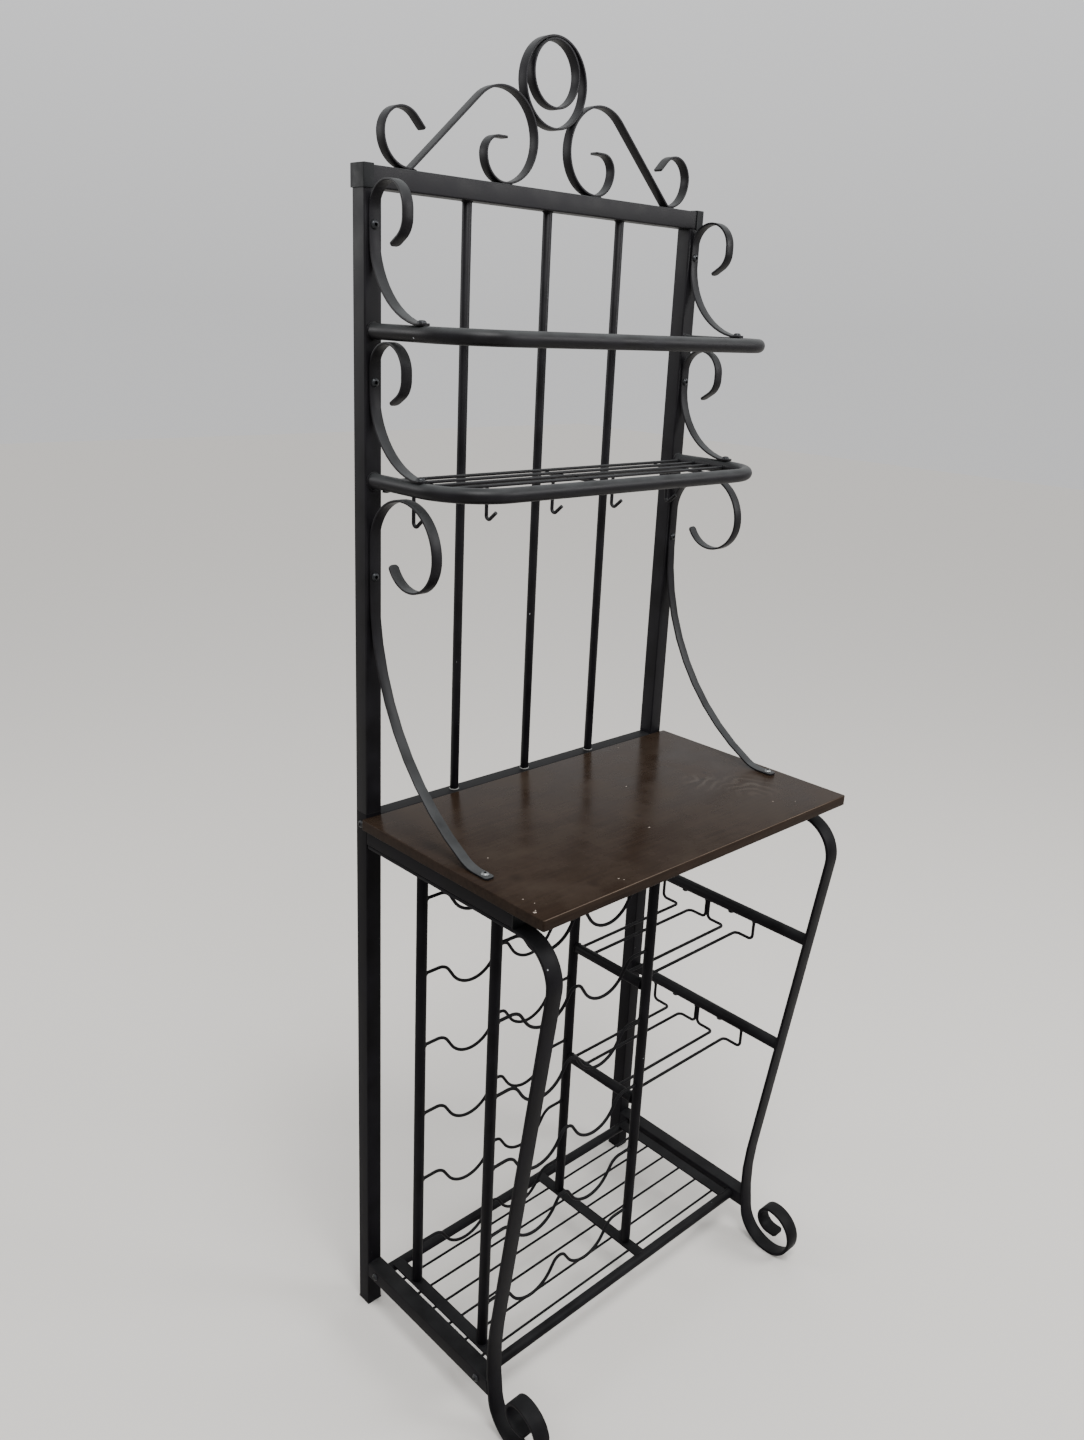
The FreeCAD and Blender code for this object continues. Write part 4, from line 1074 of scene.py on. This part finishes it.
screw_heads("bracket_post_screw_heads", "bracket_post_screws", -Y)
screw_heads("bracket_shelf_screw_heads", "bracket_shelf_screws", Z)
screw_heads("bracket_worktop_screw_heads", "bracket_worktop_screws", Z)
screw_heads("post_joint_screw_heads", "post_joint_screws")
screw_heads("bottom_rail_bolt_heads", "bottom_rail_bolts")
screw_heads("worktop_screw_heads", "worktop_screws", -Z)

# %% [markdown]
# The same heads sit under the glass rack's side tubes, one at the middle of each slot. The slots'
# wires were kept above, so their middle is known. The lower tube comes first, as solids are sorted.

# %% Screws under the glass rack's side tubes
slot_heads = []
for tier, tube in zip(("lower", "upper"), solids("glass_side_tubes")):
    wires_y = [end.y for _, end in hanger_wires[tier]]
    for first, second in (wires_y[:2], wires_y[2:]):
        seat = Vector((tube.middle.x, (first + second) / 2, tube.low.z + 0.2))
        slot_heads.append((head, facing(seat, -Z)))
piece("glass_tube_screw_heads", slot_heads, slot="black_screws")
print("heads under the side tubes:", len(slot_heads))

# %% [markdown]
# ## Welds
#
# Bars that meet end on are welded all round, so a bead rings the joint. Strips and wires that only
# touch get a short tack: a flattened lump of metal in the corner between them. Both are small, but
# the eye reads them as the difference between a real frame and bars that merely touch. Each is
# powder coated with the rest, except the rings at the feet of the back bars, which are a pale metal.

# %% Weld rings on the back bars
bright_parts = []
top_parts = []
for index, bar in enumerate(bars):
    radius = bar.size.x / 2
    foot = Vector((bar.middle.x, bar.middle.y, bar.low.z + 0.4))
    top = Vector((bar.middle.x, bar.middle.y, bar.high.z - 0.4))
    bright_parts.append((bead(radius + 0.3, 0.65, seed=index * 7.0), at(foot)))
    top_parts.append((bead(radius + 0.2, 1.0, seed=index * 5.0 + 2), at(top)))
piece("back_bar_foot_welds", bright_parts, finish=pale_weld)
piece("back_bar_top_welds", top_parts)
print("rings on the back bars:", len(bright_parts + top_parts))

# %% [markdown]
# A tack is a small ball, dented by noise and then stretched to its length, width and height. The
# outer foot of a crest scroll has no round number, so it is found where the scroll touches the rail.

# %% Tacks


def tack(size, seed=0.0):
    """A lump of weld with the given lengths along X, Y and Z."""
    bm = bmesh.new()
    bmesh.ops.create_icosphere(bm, subdivisions=2, radius=0.5)
    for vert in bm.verts:
        vert.co += noise.noise_vector(vert.co * 2.2 + Vector((seed, seed * 0.3, 0))) * 0.13
    bmesh.ops.scale(bm, vec=size, verts=bm.verts)
    return stock(bm)


def contact_x(node, beyond):
    """Where a crest scroll touches the rail again, past its belly."""
    low = node_box(node).low.z
    places = [vert.co / MM for vert in frame["nodes"][node].data.vertices]
    touching = [place.x for place in places if place.z < low + 0.2 and abs(place.x - beyond) > 60]
    return sum(touching) / len(touching)


print("a crest scroll meets the rail at x =", round(contact_x("crest_scroll_left", belly_x["left"]), 1))

# %% [markdown]
# Each scroll of the crest is tacked to the rail at its belly and at its outer foot, and on both sides
# of the point where its arch touches the outer ring. That point lies on the line between the middles
# of the two arcs. Two more tacks hold the inner ring at the top of the outer one.

# %% Crest welds
RAIL_TOP = node_box("top_rail").high.z
crest_parts = []
ring = node_box("crest_outer_ring")
arch_drop = ring.middle.z - (RAIL_TOP + STRIP_THICK / 2 + CREST_BELLY)
arch_side = belly_x["right"] + CREST_ARCH - CREST_BELLY
for index, (side, sign) in enumerate((("left", -1), ("right", 1))):
    belly = Vector((belly_x[side] + 10, ring.middle.y, RAIL_TOP + 0.7))
    outer = Vector((contact_x("crest_scroll_" + side, belly_x[side]) + 9, ring.middle.y, RAIL_TOP + 0.8))
    crest_parts.append((tack((13, 13, 3.2), index * 3.0), at(belly)))
    crest_parts.append((tack((12, 13, 4.2), index * 3.0 + 1), at(outer)))
    toward = Vector((sign * arch_side, 0, -arch_drop)).normalized()
    touch = ring.middle + toward * ring.size.x / 2
    slide = Vector((toward.z, 0, -toward.x)) * sign
    crest_parts.append((tack((5, 12, 5), index * 3.0 + 2), at(touch - slide * 11)))
    crest_parts.append((tack((4, 12, 4), index * 3.0 + 5), at(touch + slide * 10)))
for shift, size in ((9, (8, 10, 3)), (-8, (5, 8, 2))):
    inside = Vector((shift, ring.middle.y, ring.high.z - STRIP_THICK - 0.9))
    crest_parts.append((tack(size, shift), at(inside)))
piece("crest_welds", crest_parts)
print("crest tacks:", len(crest_parts))

# %% [markdown]
# On a shelf, a bead rings the end of every wire, cross bar and hoop arm, and a tack joins each wire to
# each cross bar under it.

# %% Shelf welds
shelf_parts = []
for name in ("top_shelf", "middle_shelf"):
    hoop = node_box(name + "_hoop")
    tube = hoop.size.z
    for index, sign in enumerate((-1, 1)):
        arm = Vector((sign * (hoop.high.x - tube / 2), hoop.high.y - 0.6, hoop.middle.z))
        shelf_parts.append((bead(tube / 2 + 0.3, 1.2, seed=index * 4.0), facing(arm, Y)))
    for index, wire in enumerate(solids(name + "_wires")):
        for end, sign in ((wire.low.x + 0.5, 1), (wire.high.x - 0.5, -1)):
            start = Vector((end, wire.middle.y, wire.middle.z))
            shelf_parts.append((bead(wire.size.z / 2 + 0.3, 0.9, seed=index + sign), facing(start, X)))
        for bar in solids(name + "_cross_bars"):
            cross = Vector((bar.middle.x, wire.middle.y, (wire.low.z + bar.high.z) / 2))
            shelf_parts.append((tack((4.4, 4.4, 2.2), bar.middle.x + index), at(cross)))
    for index, bar in enumerate(solids(name + "_cross_bars")):
        start = Vector((bar.middle.x, bar.low.y + 0.6, bar.middle.z))
        shelf_parts.append((bead(bar.size.z / 2 + 0.3, 1.0, seed=index * 3.0), facing(start, Y)))
piece("shelf_welds", shelf_parts)
print("shelf welds:", len(shelf_parts))

# %% [markdown]
# Each hook is tacked under its rod. The rod itself is tacked to the shelf at both ends and again
# under the hoop's arms, and there the arms' own weld to the posts has run down a little.

# %% Hook welds
hook_welds = []
rod = node_box("hook_rod")
for index, box in enumerate(solids("shelf_hooks")):
    top = Vector((box.middle.x, rod.middle.y, rod.low.z))
    hook_welds.append((tack((6, 5.5, 3), index * 2.0), at(top)))
arms = node_box("middle_shelf_hoop")
for index, sign in enumerate((-1, 1)):
    end = sign * rod.high.x
    under_arm = Vector((end + sign * 7, rod.middle.y, rod.low.z + 0.8))
    on_post = Vector((end + sign * 11, arms.high.y - 0.8, arms.low.z - 1.4))
    hook_welds.append((tack((7, 5, 4), index), at(Vector((end - sign * 5, rod.middle.y, rod.high.z)))))
    hook_welds.append((tack((15, 6, 4.2), index + 2), at(under_arm)))
    hook_welds.append((tack((11, 2.6, 6), index + 4), at(on_post)))
piece("hook_welds", hook_welds)
print("hook welds:", len(hook_welds))

# %% [markdown]
# In the wine rack a bead rings both ends of every upright and every wave wire, and the ends of the
# cross bars between the middle uprights.

# %% Rack welds
rack_parts = []
upright_bars = solids("rack_uprights")
for index, bar in enumerate(upright_bars):
    radius = bar.size.x / 2
    foot = Vector((bar.middle.x, bar.middle.y, bar.low.z + 0.3))
    top = Vector((bar.middle.x, bar.middle.y, bar.high.z - 0.3))
    rack_parts.append((bead(radius + 0.3, 1.1, seed=index * 3.0), at(foot)))
    rack_parts.append((bead(radius + 0.3, 1.1, seed=index * 3.0 + 1), at(top)))
for node in rest_levels:
    for index, box in enumerate(solids(node)):
        height = box.high.z - rest_wire / 2
        for end, sign in ((box.low.x + 0.5, 1), (box.high.x - 0.5, -1)):
            start = Vector((end, box.middle.y, height))
            seed = height + index * 2 + sign
            rack_parts.append((bead(rest_wire / 2 + 0.3, 0.9, seed=seed), facing(start, X)))
for index, box in enumerate(solids("glass_cross_bars")):
    for end in (box.low.y + 0.4, box.high.y - 0.4):
        start = Vector((box.middle.x, end, box.middle.z))
        rack_parts.append((bead(box.size.x / 2 + 0.2, 1.0, seed=end), facing(start, Y)))
piece("rack_welds", rack_parts)
print("rack welds:", len(rack_parts))

# %% [markdown]
# In the glass rack the side tubes are ringed at both ends. Each hanger has a tack under its tube and a
# bead at the divider.

# %% Glass rack welds
glass_parts = []
for index, box in enumerate(solids("glass_side_tubes")):
    for end in (box.low.y + 1.4, box.high.y - 0.5):
        start = Vector((box.middle.x, end, box.middle.z))
        glass_parts.append((bead(box.size.x / 2 + 0.2, 1.2, seed=end + index), facing(start, Y)))
for wires in hanger_wires.values():
    for index, (top, end) in enumerate(wires):
        glass_parts.append((tack((7.5, 7.5, 5), index * 1.7), at(top - Z * 1.2)))
        glass_parts.append((bead(HANGER_WIRE / 2 + 0.3, 1.0, seed=index), facing(end + X * 0.5, X)))
piece("glass_rack_welds", glass_parts)
print("glass rack welds:", len(glass_parts))

# %% [markdown]
# On the bottom shelf a flat tack joins each wire to each flat bar. Longer ones join the flat bars to
# the tubes, and the side rails to the legs and posts.

# %% Bottom shelf welds
bottom_parts = []
for index, wire in enumerate(solids("bottom_shelf_wires")):
    for bar in solids("bottom_flat_bars"):
        cross = Vector((bar.middle.x, wire.middle.y, wire.high.z))
        bottom_parts.append((tack((9, 5, 1.6), bar.middle.x + index), at(cross)))
for bar in solids("bottom_flat_bars"):
    for index, end in enumerate((bar.low.y, bar.high.y)):
        joint = Vector((bar.middle.x, end, bar.high.z - 0.2))
        bottom_parts.append((tack((16, 3, 2), bar.middle.x + index), at(joint)))
for side in ("left", "right"):
    box = node_box("bottom_rail_" + side)
    for height, reach in ((box.high.z, 4.0), (box.low.z, 0.6)):
        front = Vector((box.middle.x, box.low.y + reach, height))
        rear = Vector((box.middle.x, box.high.y - 0.4, height))
        bottom_parts.append((tack((20, 3, 2.2), height), at(front)))
        bottom_parts.append((tack((20, 2.6, 2.2), height + 2), at(rear)))
piece("bottom_shelf_welds", bottom_parts)
print("bottom shelf welds:", len(bottom_parts), "- pieces in all:", len(made_pieces))

# %% [markdown]
# ## Camera, floor and light
#
# The camera stands to the left of the rack at eye height and looks slightly down on it. It is held
# nearly level, as by hand. Turning it is three rotations in a row: to the side, down, and about its
# own line of sight.

# %% Camera
CAMERA_AT = Vector((-1162.9, -1038.55, 1509.5))
CAMERA_YAW = 44.10
CAMERA_PITCH = -18.90
CAMERA_ROLL = 2.72
CAMERA_LENS = 29.35

camera_data = bpy.data.cameras.new("camera")
camera_data.lens = CAMERA_LENS
camera_data.sensor_width = 36
camera = bpy.data.objects.new("camera", camera_data)
camera.matrix_world = (
    at(CAMERA_AT * MM)
    @ Matrix.Rotation(math.radians(-CAMERA_YAW), 4, "Z")
    @ Matrix.Rotation(math.radians(90 + CAMERA_PITCH), 4, "X")
    @ Matrix.Rotation(math.radians(CAMERA_ROLL), 4, "Z")
)
bpy.context.scene.collection.objects.link(camera)
bpy.context.scene.camera = camera
print("camera is", round((CAMERA_AT * MM).length, 2), "m from the foot of the rack")

# %% [markdown]
# The floor is one large matt square. It is part of the stage, so unlike every other mesh it does
# not ride on the rack.

# %% Floor
FLOOR_HALF_M = 12

bm = bmesh.new()
bmesh.ops.create_grid(bm, x_segments=1, y_segments=1, size=FLOOR_HALF_M)
floor_mesh = bpy.data.meshes.new("floor")
bm.to_mesh(floor_mesh)
bm.free()
floor_material, tree, place = blank_material("matt_pale_floor")
surface(tree, Base_Color=hex_colour("#c8c5c0"), Roughness=0.85, Specular_IOR_Level=0.2)
floor_mesh.materials.append(floor_material)
floor = bpy.data.objects.new("floor", floor_mesh)
bpy.context.scene.collection.objects.link(floor)
print("floor:", [round(side, 1) for side in floor.dimensions[:2]], "m")

# %% [markdown]
# A black rack is seen by what it mirrors, so most of the light is a plain bright room, brighter
# overhead, and the satin coat picks up its long soft gradients. Three large round lamps add gentle
# shadows and show the bends. Lamps are placed in metres, and they don't show themselves.

# %% Light
ROOM_AT_LEVEL = 0.8
ROOM_OVERHEAD = 1.7

world = bpy.data.worlds.new("studio")
world.use_nodes = True
sky = world.node_tree
sky.nodes.clear()
direction = add_node(sky, "TexCoord").outputs["Generated"]
height = add_node(sky, "SeparateXYZ", Vector=direction).outputs["Z"]
strength = between(sky, height, 0.0, 1.0, ROOM_AT_LEVEL, ROOM_OVERHEAD)
glow = add_node(sky, "Background", Color=hex_colour("#f3f3f4"), Strength=strength)
add_node(sky, "OutputWorld", Surface=glow.outputs["Background"])
bpy.context.scene.world = world


def soft_light(name, place, target, size, power):
    """A round lamp of a size in metres and a power in watts, aimed at a target."""
    lamp = bpy.data.lights.new(name, "AREA")
    lamp.shape = "DISK"
    lamp.size = size
    lamp.energy = power
    thing = bpy.data.objects.new(name, lamp)
    aim = (Vector(target) - Vector(place)).to_track_quat("-Z", "Y")
    thing.matrix_world = at(Vector(place)) @ aim.to_matrix().to_4x4()
    thing.visible_camera = False
    bpy.context.scene.collection.objects.link(thing)


soft_light("ceiling", (-0.5, -0.9, 2.7), (0, 0.1, 1.6), 1.0, 52)
soft_light("front", (2.1, -2.3, 2.5), (0, 0.1, 1.6), 1.4, 80)
soft_light("left", (-1.9, 2.3, 2.2), (-0.2, 0.1, 1.5), 1.2, 36)
print("lamps:", len(bpy.data.lights))
